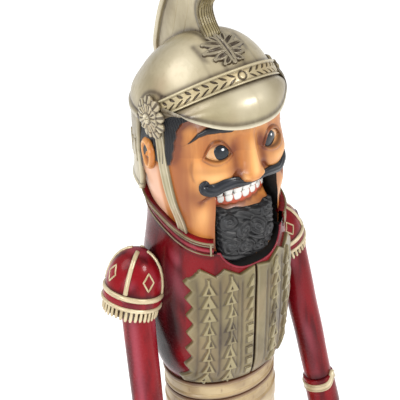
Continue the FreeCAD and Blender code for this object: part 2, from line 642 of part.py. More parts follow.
def make_shoulders(torso, sleeve, peg):
    """A domed cap over a moulded trim band and a fringe, all on one axis that leans in at the top."""
    cap = turned("cap_turned", ("cap_radius - cap_thick", "trim_top"), ("cap_radius", "trim_top"),
                 (("cap_radius * 0.74", "cap_high * 0.7"), ("0", "cap_high")), ("0", "cap_high - cap_thick"),
                 (("(cap_radius - cap_thick) * 0.74", "(cap_high - cap_thick) * 0.7"),
                  ("cap_radius - cap_thick", "trim_top")))
    trim = turned("trim_turned", ("0", "trim_base"), ("trim_radius - 1.4", "trim_base"),
                  ("trim_radius", "(trim_base + trim_top) / 2"), ("trim_radius - 0.6", "trim_top"),
                  ("0", "trim_top"))
    fringe = turned("fringe_turned", ("0", "fringe_base"), ("fringe_radius - 1.6", "fringe_base"),
                    ("fringe_radius", "trim_base"), ("0", "trim_base"))
    for name, piece in (("cap", cap), ("trim", trim), ("fringe", fringe)):
        place(piece, "shoulder_side", "shoulder_back", "shoulder_high", Y_AXIS, "-cap_tilt")
        keep_pair(f"shoulder_{name}", cut(f"shoulder_{name}_cut", piece, torso, sleeve, peg))


def write_parts():
    doc.recompute()
    broken = [thing.Label for thing in doc.Objects if {"Invalid", "Error"} & set(thing.State)]
    if broken:
        raise RuntimeError(f"not made: {broken}")
    os.makedirs("parts", exist_ok=True)
    for label, thing in parts.items():
        shape = thing.Shape
        if shape.isNull() or not shape.isValid() or not shape.Solids:
            raise RuntimeError(f"no sound solid: {label}")
        shape.exportStep(f"parts/{label}.step")
        print(f"{label:22s} solids {len(shape.Solids)} volume {shape.Volume:10.1f}")


fill_sheet()
make_base()
make_waist(make_legs())
slot_space, pin_bore = slot_tools()
torso_solid, neck_pegs, shoulder_pegs = make_torso(slot_space)
make_breastplates(torso_solid, slot_space)
head_solid = make_head(slot_space, pin_bore, neck_pegs)
make_collar(head_solid, torso_solid, slot_space)
make_face(head_solid)
make_jaw(pin_bore)
dome_solid = make_helmet(head_solid)
make_side_trim(head_solid, dome_solid)
make_arms(torso_solid, shoulder_pegs[1])
write_parts()
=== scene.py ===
import math

import bpy
import numpy as np
from mathutils import Matrix, Vector


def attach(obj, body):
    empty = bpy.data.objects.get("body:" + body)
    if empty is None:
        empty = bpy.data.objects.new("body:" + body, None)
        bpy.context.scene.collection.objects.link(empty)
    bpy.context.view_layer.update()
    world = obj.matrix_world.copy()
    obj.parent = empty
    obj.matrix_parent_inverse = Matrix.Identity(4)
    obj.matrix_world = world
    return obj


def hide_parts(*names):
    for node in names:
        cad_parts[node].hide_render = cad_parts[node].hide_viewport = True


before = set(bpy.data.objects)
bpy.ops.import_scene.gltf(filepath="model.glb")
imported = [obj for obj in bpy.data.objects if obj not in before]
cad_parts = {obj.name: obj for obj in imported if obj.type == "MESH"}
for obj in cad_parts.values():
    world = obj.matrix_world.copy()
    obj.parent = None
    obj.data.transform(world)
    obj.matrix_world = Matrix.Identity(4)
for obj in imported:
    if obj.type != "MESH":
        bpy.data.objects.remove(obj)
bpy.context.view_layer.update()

# Lengths are in millimetres until a mesh is made. The figure faces -Y and +Z is up.
MM = 0.001
FIGURE, JAW = "figure", "jaw"


# ---------------------------------------------------------------- numbers and shapes

def smooth(low, high, value):
    """0 below low, 1 above high, and an even curve between; low may be the larger."""
    t = np.clip((value - low) / (high - low), 0, 1)
    return t * t * (3 - 2 * t)


def bell(value, width):
    """1 at zero, falling away on both sides."""
    return np.exp(-(value / width) ** 2)


def window(value, start, full, fade, end):
    """0 outside start and end, 1 between full and fade."""
    return smooth(start, full, value) * smooth(end, fade, value)


def turns(count):
    """Even angles once round."""
    return np.linspace(0, 2 * np.pi, count, endpoint=False)


def ripple(x, y, z, size, seed=0.0):
    """A gentle irregular wave between -1 and 1, the same every time."""
    a = np.sin(x / size * 2.1 + seed) * np.cos(z / size * 1.7 - seed * 1.3)
    b = np.sin(y / size * 2.6 + z / size * 1.1 + seed * 2.1)
    c = np.cos(x / size * 4.3 - y / size * 3.1 + z / size * 2.3 + seed)
    return (a + 0.7 * b + 0.4 * c) / 2.1


class Stack:
    """Oval cross-sections: height, half width, half depth, centre along Y, squareness of the front."""

    def __init__(self, rows):
        table = np.array(rows, float)
        self.z, self.values = table[:, 0], table[:, 1:]
        self.slopes = np.gradient(self.values, self.z, axis=0)

    def at(self, z):
        z = np.asarray(z, float)
        k = np.clip(np.searchsorted(self.z, z) - 1, 0, len(self.z) - 2)
        step = (self.z[k + 1] - self.z[k])[..., None]
        t = np.clip((z - self.z[k]) / (self.z[k + 1] - self.z[k]), 0, 1)[..., None]
        here, after = self.values[k], self.values[k + 1]
        out = (1 + 2 * t) * (1 - t) ** 2 * here + t * t * (3 - 2 * t) * after
        out = out + step * (t * (1 - t) ** 2 * self.slopes[k] - t * t * (1 - t) * self.slopes[k + 1])
        return out[..., 0], out[..., 1], out[..., 2], out[..., 3]

    def point(self, angle, z, out=0.0):
        """The surface point at an angle from straight ahead (+X is positive), moved out by some amount."""
        a, b, shift, power = self.at(z)
        s, c = np.sin(angle), np.cos(angle)
        power = np.where(c > 0, power, 2.0)
        k = (np.abs(s) ** power + np.abs(c) ** power) ** (-1 / power)
        return np.stack(np.broadcast_arrays((a + out) * k * s, shift - (b + out) * k * c, z), -1)

    def angle_of(self, x, z, out=0.0):
        """The angle at which the front surface passes x."""
        a, _, _, power = self.at(z)
        s = np.clip(x / (a + out * 0.5), -0.999, 0.999)
        return np.arctan2(s, (1 - np.abs(s) ** power) ** (1 / power))

    def angle_at_depth(self, y, z, out=0.0):
        """The angle, on the +X side, at which the surface passes y."""
        _, b, shift, power = self.at(z)
        c = np.clip((shift - y) / (b + out), -0.999, 0.999)
        power = np.where(c > 0, power, 2.0)
        return np.arctan2((1 - np.abs(c) ** power) ** (1 / power), c)

    def front(self, x, z, out=0.0):
        """The surface point straight ahead of x."""
        return self.point(self.angle_of(x, z, out), z, out)


def grid_faces(rows, cols, wrap=False):
    """Four-sided faces over a grid of rows and columns."""
    r = np.arange(rows - 1)[:, None] * cols
    c = np.arange(cols if wrap else cols - 1)[None, :]
    after = (c + 1) % cols
    return np.stack([r + c, r + after, r + cols + after, r + cols + c], -1).reshape(-1, 4)


# Pieces whose waistline hangs lower than the plain blocks under them, and by how much.
LOW_WAISTED = ("torso", "plate", "seam", "sash", "waist", "hips")
WAIST_DROP = 7.0


def build(name, points, faces, material, nodes=(), marks=None, sharp=None, body=FIGURE):
    """Makes a mesh piece, with a number per vertex for each mark, that rides on a body."""
    mesh = bpy.data.meshes.new(name)
    if name.startswith(LOW_WAISTED):
        points = np.array(points, float).reshape(-1, 3)
        points[:, 2] -= WAIST_DROP * smooth(285, 224, points[:, 2]) * smooth(170, 200, points[:, 2])
    mesh.from_pydata((np.asarray(points, float).reshape(-1, 3) * MM).tolist(), [], [list(f) for f in faces])
    for mark, values in (marks or {}).items():
        layer = mesh.attributes.new(mark, "FLOAT", "POINT")
        layer.data.foreach_set("value", np.asarray(values, np.float32).ravel())
    mesh.validate()
    mesh.shade_smooth()
    if sharp:
        mesh.set_sharp_from_angle(angle=math.radians(sharp))
    thing = bpy.data.objects.new(name, mesh)
    bpy.context.scene.collection.objects.link(thing)
    mesh.materials.append(material)
    settle(thing, nodes, body)
    return thing


def settle(thing, nodes, body):
    """Ties a piece to its body and hides the designed parts that it stands for."""
    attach(thing, body)
    if nodes:
        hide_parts(*nodes)


class Heap:
    """Collects shapes that become one piece."""

    def __init__(self):
        self.points, self.faces, self.marks, self.count = [], [], {}, 0

    def add(self, points, faces, **marks):
        points = np.asarray(points, float).reshape(-1, 3)
        self.points.append(points)
        self.faces += [[int(v) + self.count for v in face] for face in faces]
        for mark in set(marks) | set(self.marks):
            kept = self.marks.setdefault(mark, [np.zeros(self.count)])
            value = marks.get(mark, 0.0)
            kept.append(np.broadcast_to(np.asarray(value, float).ravel() if np.ndim(value) else value,
                                        len(points)))
        self.count += len(points)

    def make(self, name, material, nodes=(), sharp=None, body=FIGURE):
        marks = {mark: np.concatenate(kept) for mark, kept in self.marks.items()}
        return build(name, np.concatenate(self.points), self.faces, material, nodes, marks, sharp, body)


def piece(name, material, shape, nodes=(), sharp=None, body=FIGURE, **marks):
    """A mesh piece made of one shape, which is a pair of points and faces."""
    heap = Heap()
    heap.add(*shape, **marks)
    return heap.make(name, material, nodes, sharp, body)


def closed_grid(points):
    """A grid that wraps sideways, with its first and last rows closed by fans."""
    rows, cols = points.shape[:2]
    faces = grid_faces(rows, cols, wrap=True).tolist()
    flat = points.reshape(-1, 3)
    centres = np.stack([points[0].mean(0), points[-1].mean(0)])
    low, high = len(flat), len(flat) + 1
    for c in range(cols):
        faces.append([low, (c + 1) % cols, c])
        faces.append([high, (rows - 1) * cols + c, (rows - 1) * cols + (c + 1) % cols])
    return np.concatenate([flat, centres]), faces


def shell(outer, inner):
    """A closed sheet between two grids of the same size."""
    rows, cols = outer.shape[:2]
    top, bottom = grid_faces(rows, cols), grid_faces(rows, cols)[:, ::-1] + rows * cols
    last = (rows - 1) * cols
    ring = list(range(cols)) + [r * cols + cols - 1 for r in range(1, rows)]
    ring += [last + c for c in range(cols - 2, -1, -1)] + [r * cols for r in range(rows - 2, 0, -1)]
    walls = [[b, a, a + rows * cols, b + rows * cols] for a, b in zip(ring, ring[1:] + ring[:1])]
    points = np.concatenate([outer.reshape(-1, 3), inner.reshape(-1, 3)])
    return points, top.tolist() + bottom.tolist() + walls


def tube(path, radius, sides=12, squash=1.0, normal=(0, 0, 1.0)):
    """A closed tube along a path of points; radius may vary. squash flattens it along a normal."""
    path = np.asarray(path, float)
    radius = np.broadcast_to(radius, len(path))
    along = np.gradient(path, axis=0)
    along /= np.linalg.norm(along, axis=1)[:, None]
    side = np.cross(along, np.broadcast_to(np.asarray(normal, float), path.shape))
    side /= np.linalg.norm(side, axis=1)[:, None] + 1e-9
    up = np.cross(side, along)
    turn = turns(sides)
    across = np.cos(turn)[None, :, None] * side[:, None] + squash * np.sin(turn)[None, :, None] * up[:, None]
    return closed_grid(path[:, None] + radius[:, None, None] * across)


def around(radius, turn, height):
    """Points round Z at a turn from straight ahead."""
    return np.stack(np.broadcast_arrays(radius * np.sin(turn), -radius * np.cos(turn), height), -1)


def lathe(profile, sides):
    """Points of a profile of radius and height turned round Z."""
    profile = np.asarray(profile, float)
    return around(profile[:, :1], turns(sides), profile[:, 1:])


def ring_faces(rows, cols):
    """Faces of a grid that wraps both sideways and from its last row to its first."""
    last = (rows - 1) * cols
    closing = [[last + c, last + (c + 1) % cols, (c + 1) % cols, c] for c in range(cols)]
    return grid_faces(rows, cols, wrap=True).tolist() + closing


def reversed_faces(faces):
    return [list(face)[::-1] for face in faces]


def mirrored(points, faces):
    """The same shape on the figure's other side."""
    return np.asarray(points) * [-1, 1, 1], reversed_faces(faces)


def on_side(sign, shape):
    """A left-hand shape, or its mirror image where sign is negative."""
    return mirrored(*shape) if sign < 0 else shape


def walk(line):
    """Distance along a line of points, from its first point to each."""
    return np.concatenate([[0], np.cumsum(np.linalg.norm(np.diff(line, axis=0), axis=1))])


def spline(knots, values, at):
    """A smooth curve through values at knots."""
    knots, values = np.asarray(knots, float), np.asarray(values, float)
    slopes = np.gradient(values, knots)
    k = np.clip(np.searchsorted(knots, at) - 1, 0, len(knots) - 2)
    step = knots[k + 1] - knots[k]
    t = (at - knots[k]) / step
    return ((1 + 2 * t) * (1 - t) ** 2 * values[k] + t * t * (3 - 2 * t) * values[k + 1]
            + step * (t * (1 - t) ** 2 * slopes[k] - t * t * (1 - t) * slopes[k + 1]))


def smooth_line(points, count):
    """A smooth line through points, as evenly spaced points."""
    points = np.asarray(points, float)
    knots = walk(points)
    at = np.linspace(0, knots[-1], count)
    return np.stack([spline(knots, column, at) for column in points.T], -1)


def twice(value):
    """A mark for both faces of a shell."""
    return np.concatenate([value.ravel(), value.ravel()])


def outer_only(value, inner):
    """A mark for a shell whose inner face has one value."""
    return np.append(value.ravel(), np.full(value.size, inner))


def capped(value):
    """A mark for a closed grid, whose two end points come last and stay plain."""
    return np.append(np.clip(value, 0, 1).ravel(), [0, 0])


# ---------------------------------------------------------------- materials

class Paint:
    """Builds one node material around a Principled shader."""

    def __init__(self, name, **settings):
        self.material = bpy.data.materials.new(name)
        self.material.use_nodes = True
        self.tree = self.material.node_tree
        self.shader = self.tree.nodes["Principled BSDF"]
        for socket, value in settings.items():
            self.shader.inputs[socket.replace("_", " ")].default_value = value
        self.place = self.add("ShaderNodeTexCoord").outputs["Object"]

    def add(self, kind, **values):
        node = self.tree.nodes.new(kind)
        for key, value in values.items():
            if hasattr(node, key):
                setattr(node, key, value)
            elif hasattr(value, "is_output"):
                self.tree.links.new(value, node.inputs[key])
            else:
                node.inputs[key].default_value = value
        return node

    def link(self, output, node, socket):
        self.tree.links.new(output, node.inputs[socket])

    def noise(self, scale, stretch=(1, 1, 1), detail=4.0, distortion=0.0):
        mapping = self.add("ShaderNodeMapping")
        mapping.inputs["Scale"].default_value = stretch
        self.link(self.place, mapping, "Vector")
        node = self.add("ShaderNodeTexNoise", Scale=scale, Detail=detail, Distortion=distortion)
        self.link(mapping.outputs[0], node, "Vector")
        return node.outputs["Fac"]

    def span(self, value, low, high, to_low=0.0, to_high=1.0):
        node = self.add("ShaderNodeMapRange")
        node.interpolation_type = "SMOOTHSTEP"
        self.link(value, node, "Value")
        for index, number in zip((1, 2, 3, 4), (low, high, to_low, to_high)):
            node.inputs[index].default_value = number
        return node.outputs[0]

    def times(self, first, second, operation="MULTIPLY"):
        node = self.add("ShaderNodeMath")
        node.operation = operation
        for index, value in enumerate((first, second)):
            if hasattr(value, "is_output"):
                self.link(value, node, index)
            else:
                node.inputs[index].default_value = value
        node.use_clamp = True
        return node.outputs[0]

    def mark(self, name):
        node = self.add("ShaderNodeAttribute")
        node.attribute_name = name
        return node.outputs["Fac"]

    def mix(self, factor, first, second):
        node = self.add("ShaderNodeMix")
        node.data_type = "RGBA"
        for index, value in ((0, factor), (6, first), (7, second)):
            if hasattr(value, "is_output"):
                self.link(value, node, index)
            elif index:
                node.inputs[index].default_value = (*value, 1.0)
            else:
                node.inputs[index].default_value = value
        return node.outputs[2]

    def finish(self, colour, rough=None, height=None, strength=0.2, depth=0.0004):
        self.link(colour, self.shader, "Base Color")
        if rough is not None:
            self.link(rough, self.shader, "Roughness")
        if height is not None:
            bump = self.add("ShaderNodeBump", Strength=strength, Distance=depth)
            self.link(height, bump, "Height")
            self.link(bump.outputs[0], self.shader, "Normal")
        return self.material


def antique_gold(name="antique_gold", warm=0.0, tone=1.0, blue=1.0):
    """Champagne-gold paint over pewter, with dark wax left in the recesses and worn light edges; the recess
    mark also carries painted shade, and the light mark painted highlights.
    """
    p = Paint(name, Metallic=0.22, Specular_IOR_Level=0.5, Coat_Weight=0.3, Coat_Roughness=0.16)
    tint = lambda r, g, b: (tone * r, tone * g * (0.8 + 0.2 * blue), tone * b * blue)
    broad, fine = p.noise(38, detail=5, distortion=0.4), p.noise(420, (1, 1, 0.5), detail=6)
    colour = p.mix(p.span(broad, 0.32, 0.68), tint(0.31 + warm, 0.25 + warm * 0.45, 0.135),
                   tint(0.50, 0.425, 0.275))
    patch = p.times(p.span(p.noise(24, detail=3), 0.5, 0.7), 0.6)
    colour = p.mix(patch, colour, tint(0.45, 0.31 + warm * 0.4, 0.19))
    olive = p.times(p.span(p.noise(17, detail=4), 0.54, 0.7), 0.5)
    colour = p.mix(olive, colour, tint(0.27, 0.24, 0.10))
    colour = p.mix(p.times(p.span(fine, 0.5, 0.8), 0.3), colour, tint(0.28, 0.225, 0.12))
    # Worn high edges, and painted highlights where a piece puts them.
    colour = p.mix(p.mark("light"), colour, tint(0.70, 0.63, 0.46))
    # Dark wax in the hollows, and painted shade where a piece puts it.
    recess = p.times(p.mark("recess"), p.span(fine, 0.15, 0.6, 0.75, 1.0))
    colour = p.mix(recess, colour, (0.04, 0.022, 0.010))
    return p.finish(colour, p.span(fine, 0.2, 0.9, 0.3, 0.5), fine, 0.25, 0.0003)


def cream_gold(name="cream_gold", tone=1.0):
    """Pale gold paint of the braid and trim."""
    p = Paint(name, Metallic=0.25, Coat_Weight=0.3, Coat_Roughness=0.25)
    broad, fine = p.noise(90, detail=4), p.noise(500, detail=5)
    dull, bright = ([tone * share for share in colour]
                    for colour in ((0.34, 0.235, 0.10), (0.60, 0.49, 0.30)))
    colour = p.mix(p.span(broad, 0.35, 0.7), dull, bright)
    colour = p.mix(p.mark("light"), colour, (0.78, 0.70, 0.50))
    colour = p.mix(p.mark("recess"), colour, (0.07, 0.035, 0.018))
    return p.finish(colour, p.span(fine, 0.2, 0.9, 0.28, 0.46), fine, 0.2, 0.0003)


def crimson():
    """Deep red lacquer, left dark in streaks, with painted pink highlights where the light mark says and
    painted shade where the recess mark says.
    """
    p = Paint("crimson_lacquer", Coat_Weight=0.14, Coat_Roughness=0.05, Specular_IOR_Level=0.12)
    broad = p.noise(22, (1, 1, 0.55), detail=4, distortion=0.6)
    streak, fine = p.noise(130, (1, 1, 0.12), detail=5), p.noise(480, detail=6)
    colour = p.mix(p.span(broad, 0.38, 0.62), (0.10, 0.0015, 0.0035), (0.215, 0.004, 0.008))
    colour = p.mix(p.times(p.span(streak, 0.46, 0.66), 0.75), colour, (0.042, 0.002, 0.005))
    # Painted pink highlights.
    colour = p.mix(p.times(p.mark("light"), p.span(broad, 0.3, 0.65, 0.35, 1.0)), colour, (0.34, 0.06, 0.085))
    # Painted shade.
    colour = p.mix(p.mark("recess"), colour, (0.022, 0.004, 0.005))
    return p.finish(colour, p.span(fine, 0.2, 0.9, 0.2, 0.36), broad, 0.12, 0.002)


def skin():
    """Honey-stained wood with painted brown shade and painted highlights, and painted hair, brows and throat.
    """
    p = Paint("skin_wood", Specular_IOR_Level=0.35, Coat_Weight=0.25, Coat_Roughness=0.2)
    grain = p.noise(95, (1, 1, 0.085), detail=6, distortion=0.5)
    line = p.noise(260, (1, 1, 0.03), detail=3)
    broad = p.noise(30, detail=3)
    colour = p.mix(p.span(grain, 0.3, 0.7), (0.40, 0.118, 0.020), (0.60, 0.245, 0.056))
    colour = p.mix(p.times(p.span(line, 0.52, 0.7), 0.35), colour, (0.30, 0.085, 0.02))
    # Painted highlights.
    colour = p.mix(p.times(p.mark("light"), p.span(broad, 0.2, 0.7, 0.6, 1.0)), colour, (0.82, 0.44, 0.16))
    colour = p.mix(p.mark("throat"), colour, (0.66, 0.38, 0.25))
    colour = p.mix(p.mark("gum"), colour, (0.47, 0.075, 0.03))
    # Painted brown shade.
    colour = p.mix(p.times(p.mark("burn"), p.span(grain, 0.2, 0.8, 0.8, 1.0)), colour, (0.15, 0.03, 0.007))
    colour = p.mix(p.mark("dark"), colour, (0.045, 0.014, 0.008))
    colour = p.mix(p.mark("hair"), colour, (0.007, 0.008, 0.011))
    height = p.mix(p.mark("hair"), grain, p.noise(300, (1, 1, 0.12)))
    return p.finish(colour, p.span(grain, 0.2, 0.9, 0.34, 0.5), height, 0.16, 0.0005)


def plain(name, first, second, scale, rough, stretch=(1, 1, 1), bump=0.2, depth=0.0004,
          recess=(0.02, 0.012, 0.01), light=None, **settings):
    """A two-tone paint or stain, with a painted highlight where the light mark says, and darkened where the
    recess mark says, mostly as painted shade.
    """
    p = Paint(name, **settings)
    broad, fine = p.noise(scale, stretch, detail=5, distortion=0.3), p.noise(scale * 6, stretch, detail=5)
    colour = p.mix(p.span(broad, 0.3, 0.7), first, second)
    if light:
        colour = p.mix(p.mark("light"), colour, light)
    colour = p.mix(p.mark("recess"), colour, recess)
    return p.finish(colour, p.span(fine, 0.2, 0.9, *rough), fine, bump, depth)


GOLD = antique_gold(tone=0.88)
BAND_GOLD = antique_gold("band_gold", warm=0.17, tone=0.74, blue=0.85)
BREAST_GOLD = antique_gold("breast_gold", tone=0.46, blue=0.66)
CREAM_GOLD = cream_gold()
COLLAR_GOLD = cream_gold("collar_gold", 0.42)
RED = crimson()
SKIN = skin()
# The light colour is a painted sheen.
HAIR = plain("black_paint", (0.005, 0.006, 0.008), (0.014, 0.016, 0.022), 120, (0.3, 0.48), (1, 1, 0.4),
             light=(0.02, 0.022, 0.03), Specular_IOR_Level=0.25, Coat_Weight=0.3, Coat_Roughness=0.15)
# The light colour is a painted sheen and the recess colour painted shade.
BEARD = plain("beard_paint", (0.007, 0.007, 0.008), (0.018, 0.018, 0.020), 200, (0.4, 0.6),
              light=(0.02, 0.02, 0.022), recess=(0.002, 0.002, 0.003), Coat_Weight=0.1, Coat_Roughness=0.35)
ENAMEL = plain("tooth_enamel", (0.66, 0.64, 0.60), (0.80, 0.78, 0.74), 160, (0.16, 0.3), bump=0.08,
               recess=(0.10, 0.04, 0.03), Coat_Weight=0.5, Coat_Roughness=0.08)
# The recess colour is painted shade under the lids.
EYE_WHITE = plain("eye_paint", (0.58, 0.29, 0.10), (0.70, 0.42, 0.20), 120, (0.16, 0.28), bump=0.05,
                  recess=(0.20, 0.06, 0.03), Coat_Weight=0.8, Coat_Roughness=0.06)
# The light colour is a painted glint.
IRIS = plain("iris_paint", (0.004, 0.006, 0.009), (0.013, 0.020, 0.028), 500, (0.1, 0.2), bump=0.04,
             light=(0.9, 0.92, 0.95), Specular_IOR_Level=0.25, Coat_Weight=0.3, Coat_Roughness=0.03)
# The light colour is a painted highlight and the recess colour painted shade.
CREAM = plain("cream_paint", (0.34, 0.24, 0.12), (0.55, 0.44, 0.27), 45, (0.34, 0.5),
              recess=(0.20, 0.085, 0.02), light=(0.74, 0.66, 0.50), Coat_Weight=0.3, Coat_Roughness=0.3)
# The recess colour is painted shade along the band edges, and the colour of the painted ticks.
SASH_CREAM = plain("sash_cream", (0.29, 0.19, 0.08), (0.48, 0.36, 0.19), 45, (0.34, 0.5),
                   recess=(0.12, 0.05, 0.02), light=(0.62, 0.54, 0.40), Coat_Weight=0.3, Coat_Roughness=0.3)
LEVER_WOOD = plain("lever_wood", (0.50, 0.21, 0.07), (0.72, 0.36, 0.14), 60, (0.36, 0.52), (1, 1, 0.1),
                   recess=(0.16, 0.05, 0.02), Coat_Weight=0.25)
BARE_WOOD = plain("bare_wood", (0.58, 0.40, 0.22), (0.74, 0.56, 0.35), 70, (0.5, 0.65), (1, 1, 0.1))
SLOT_BLACK = plain("slot_black", (0.004, 0.004, 0.004), (0.010, 0.009, 0.008), 80, (0.6, 0.8))
BOOT = plain("boot_lacquer", (0.010, 0.010, 0.012), (0.022, 0.022, 0.026), 60, (0.14, 0.26),
             light=(0.07, 0.07, 0.08), Coat_Weight=0.9, Coat_Roughness=0.08)
BASE = plain("base_lacquer", (0.012, 0.011, 0.011), (0.03, 0.028, 0.026), 40, (0.18, 0.32), Coat_Weight=0.8)
STEEL = plain("pin_steel", (0.42, 0.42, 0.44), (0.55, 0.55, 0.57), 300, (0.25, 0.4), Metallic=1.0)

SLOTS = {"antique_gold": (GOLD, BAND_GOLD, BREAST_GOLD), "gold_trim": (CREAM_GOLD, COLLAR_GOLD),
         "crimson": (RED,), "skin": (SKIN, EYE_WHITE), "black_hair": (HAIR, BEARD, IRIS, SLOT_BLACK),
         "teeth": (ENAMEL,), "cream": (CREAM, SASH_CREAM), "bare_wood": (LEVER_WOOD, BARE_WOOD),
         "boot_black": (BOOT,), "base_paint": (BASE,), "pin_steel": (STEEL,)}
SLOT_OF = {material.name: slot for slot, materials in SLOTS.items() for material in materials}


# ---------------------------------------------------------------- the figure's main shapes

HEAD = Stack([(309, 32.4, 32.6, 0, 3.0), (324, 32.6, 33.4, 0, 3.0), (337, 35.2, 35.4, 0, 2.7),
              (350, 37.1, 37.2, 0, 2.15), (363, 37.2, 37.6, 0, 2.0), (374, 35.8, 36.6, 0, 2.0),
              (385, 33.6, 35.2, .5, 2.0), (396, 29.5, 32, 1, 2.0), (404, 21, 23.5, 1.5, 2.0)])
TORSO = Stack([(222, 34, 28, 1.5, 2), (230, 38, 30.5, .6, 2), (249, 42, 33, 0, 2), (273, 43.5, 35.5, 0, 2.05),
               (294, 41, 37, 0, 2.15), (304, 38.4, 36.4, 0, 2.3), (313, 36.4, 36, 0, 2.45),
               (334, 35.6, 35.4, 0, 2.5)])
WAIST = Stack([(196, 32.2, 26.8, 2.5, 2), (209, 31.6, 26.2, 2.4, 2), (222, 32.4, 26.8, 1.8, 2)])
HIPS = Stack([(170, 30, 22, 1, 2), (178, 34.5, 27, 2, 2), (187, 35.5, 28.5, 2.5, 2), (196, 34, 28, 2.5, 2)])
GUARD = Stack([(328, 41.8, 46, 1.5, 2), (334, 40.2, 44.2, 1.5, 2), (346, 38.9, 42.9, 1.5, 2),
               (362, 38.6, 42.5, 1.5, 2), (380, 38, 42, 1.5, 2)])

SLOT_HALF, SLOT_LOW, SLOT_ROOF, SLOT_CORNER = 20.0, 296.4, 346.0, 17.0
LINING_DEPTH = 26.0         # how far back the black lining of the slot reaches, as y
HEAD_SLOT_COLS, TORSO_SLOT_COLS = 150, 70
NECK_TILT = math.tan(math.radians(18))
SIDES = ((-1, "right"), (1, "left"))


def slot_half(z):
    """Half width of the mouth slot at a height; its lower corners are round."""
    drop = np.clip(SLOT_LOW + SLOT_CORNER - z, 0, SLOT_CORNER)
    return SLOT_HALF - SLOT_CORNER + np.sqrt(SLOT_CORNER ** 2 - drop ** 2)


def slot_extra(z):
    """How much farther the slot reaches on the figure's left than on its right."""
    return np.interp(z, [312, 321, 329, 337, 346], [3.4, 3.4, 2.2, 0, -0.8])


def neckline(y):
    return 307.5 + (y + 33.5) * NECK_TILT


def slotted_columns(stack, z, inner, outer, back):
    """Angles for each row, with a column kept on each edge of the mouth slot."""
    near = stack.angle_of(slot_half(z), z)[:, None]
    edge = stack.angle_of(slot_half(z) + slot_extra(z), z)[:, None]
    side = math.radians(84)
    right = edge + (side - edge) * np.linspace(0, 1, outer)[None, :]
    left = near + (side - near) * np.linspace(0, 1, outer)[None, :]
    far = np.broadcast_to(np.linspace(side, 2 * math.pi - side, back)[None, 1:-1], (len(z), back - 2))
    middle = -near + (edge + near) * np.linspace(0, 1, inner)[None, :]
    return np.concatenate([middle, right[:, 1:], far, -left[:, :0:-1] + 2 * math.pi], 1)


def run_back(rim, steps, axis):
    """A wall straight back from a rim to the lining's depth; axis is the way of the grid that runs back."""
    rim = np.expand_dims(rim, axis)
    share = np.expand_dims(np.linspace(0, 1, steps), (1 - axis, 2))
    wall = rim + np.array([0, 1, 0.0]) * share * (LINING_DEPTH - rim[..., 1:2])
    return wall, grid_faces(*wall.shape[:2])


def slot_lining(name, left, right, end, steps):
    """Black walls behind the two sides and the end of a mouth slot."""
    heap = Heap()
    for rim, axis in ((left, 1), (right, 1), (end, 0)):
        heap.add(*run_back(rim, steps, axis))
    heap.make(name, SLOT_BLACK)


def swell(x):
    """The brow and cheek are fuller on the figure's left."""
    return 1.8 * bell(x - 27, 7)


def nose_shape(side, zz):
    """A long straight bridge, rounded wings and a sharp underside; also its half width."""
    bridge = np.interp(zz, [347.6, 348.6, 349.6, 351.5, 354, 360, 368, 375, 380],
                       [0, 2.2, 4.1, 5.0, 5.0, 4.1, 2.9, 1.7, 0.5])
    wide = np.interp(zz, [348, 350, 353, 357, 361, 368, 375, 380], [4.4, 5.4, 5.9, 4.6, 3.5, 2.9, 3.4, 6.5])
    nose = bridge * np.exp(-(side / wide) ** 3.2)
    nose = nose + 1.5 * bell(np.hypot(side - 5.3, (zz - 352.4) * 1.1), 2.0) * smooth(348.4, 350, zz)
    return nose, wide


def hair_shape(angle, zz):
    """An arch from under the helmet to a sideburn in front of the strap.

    Gives the angle in degrees, the hair's front edge, how far hair covers and its locks.
    """
    turn = np.degrees(np.abs(np.arctan2(np.sin(angle), np.cos(angle))))
    edge = np.interp(zz, [350, 359.4, 360.4, 366, 373, 380, 384, 386.8, 389, 392],
                     [66, 65.9, 65.8, 64.0, 62.6, 60.2, 56, 47, 36, 30])
    edge = edge + 0.4 * np.sin(zz * 1.1) * smooth(386, 380, zz)
    hair_low = np.interp(turn, [60, 94, 104, 116], [360, 359.5, 346, 339])
    hair = smooth(-0.7, 0.9, turn - edge) * smooth(-0.9, 0.9, zz - hair_low + 0.3 * np.sin(turn * 1.4))
    lock = np.sin((turn * 1.05 - (zz - 373) * 0.32 * smooth(372, 388, zz)) * 2.4)
    return turn, edge, hair, lock


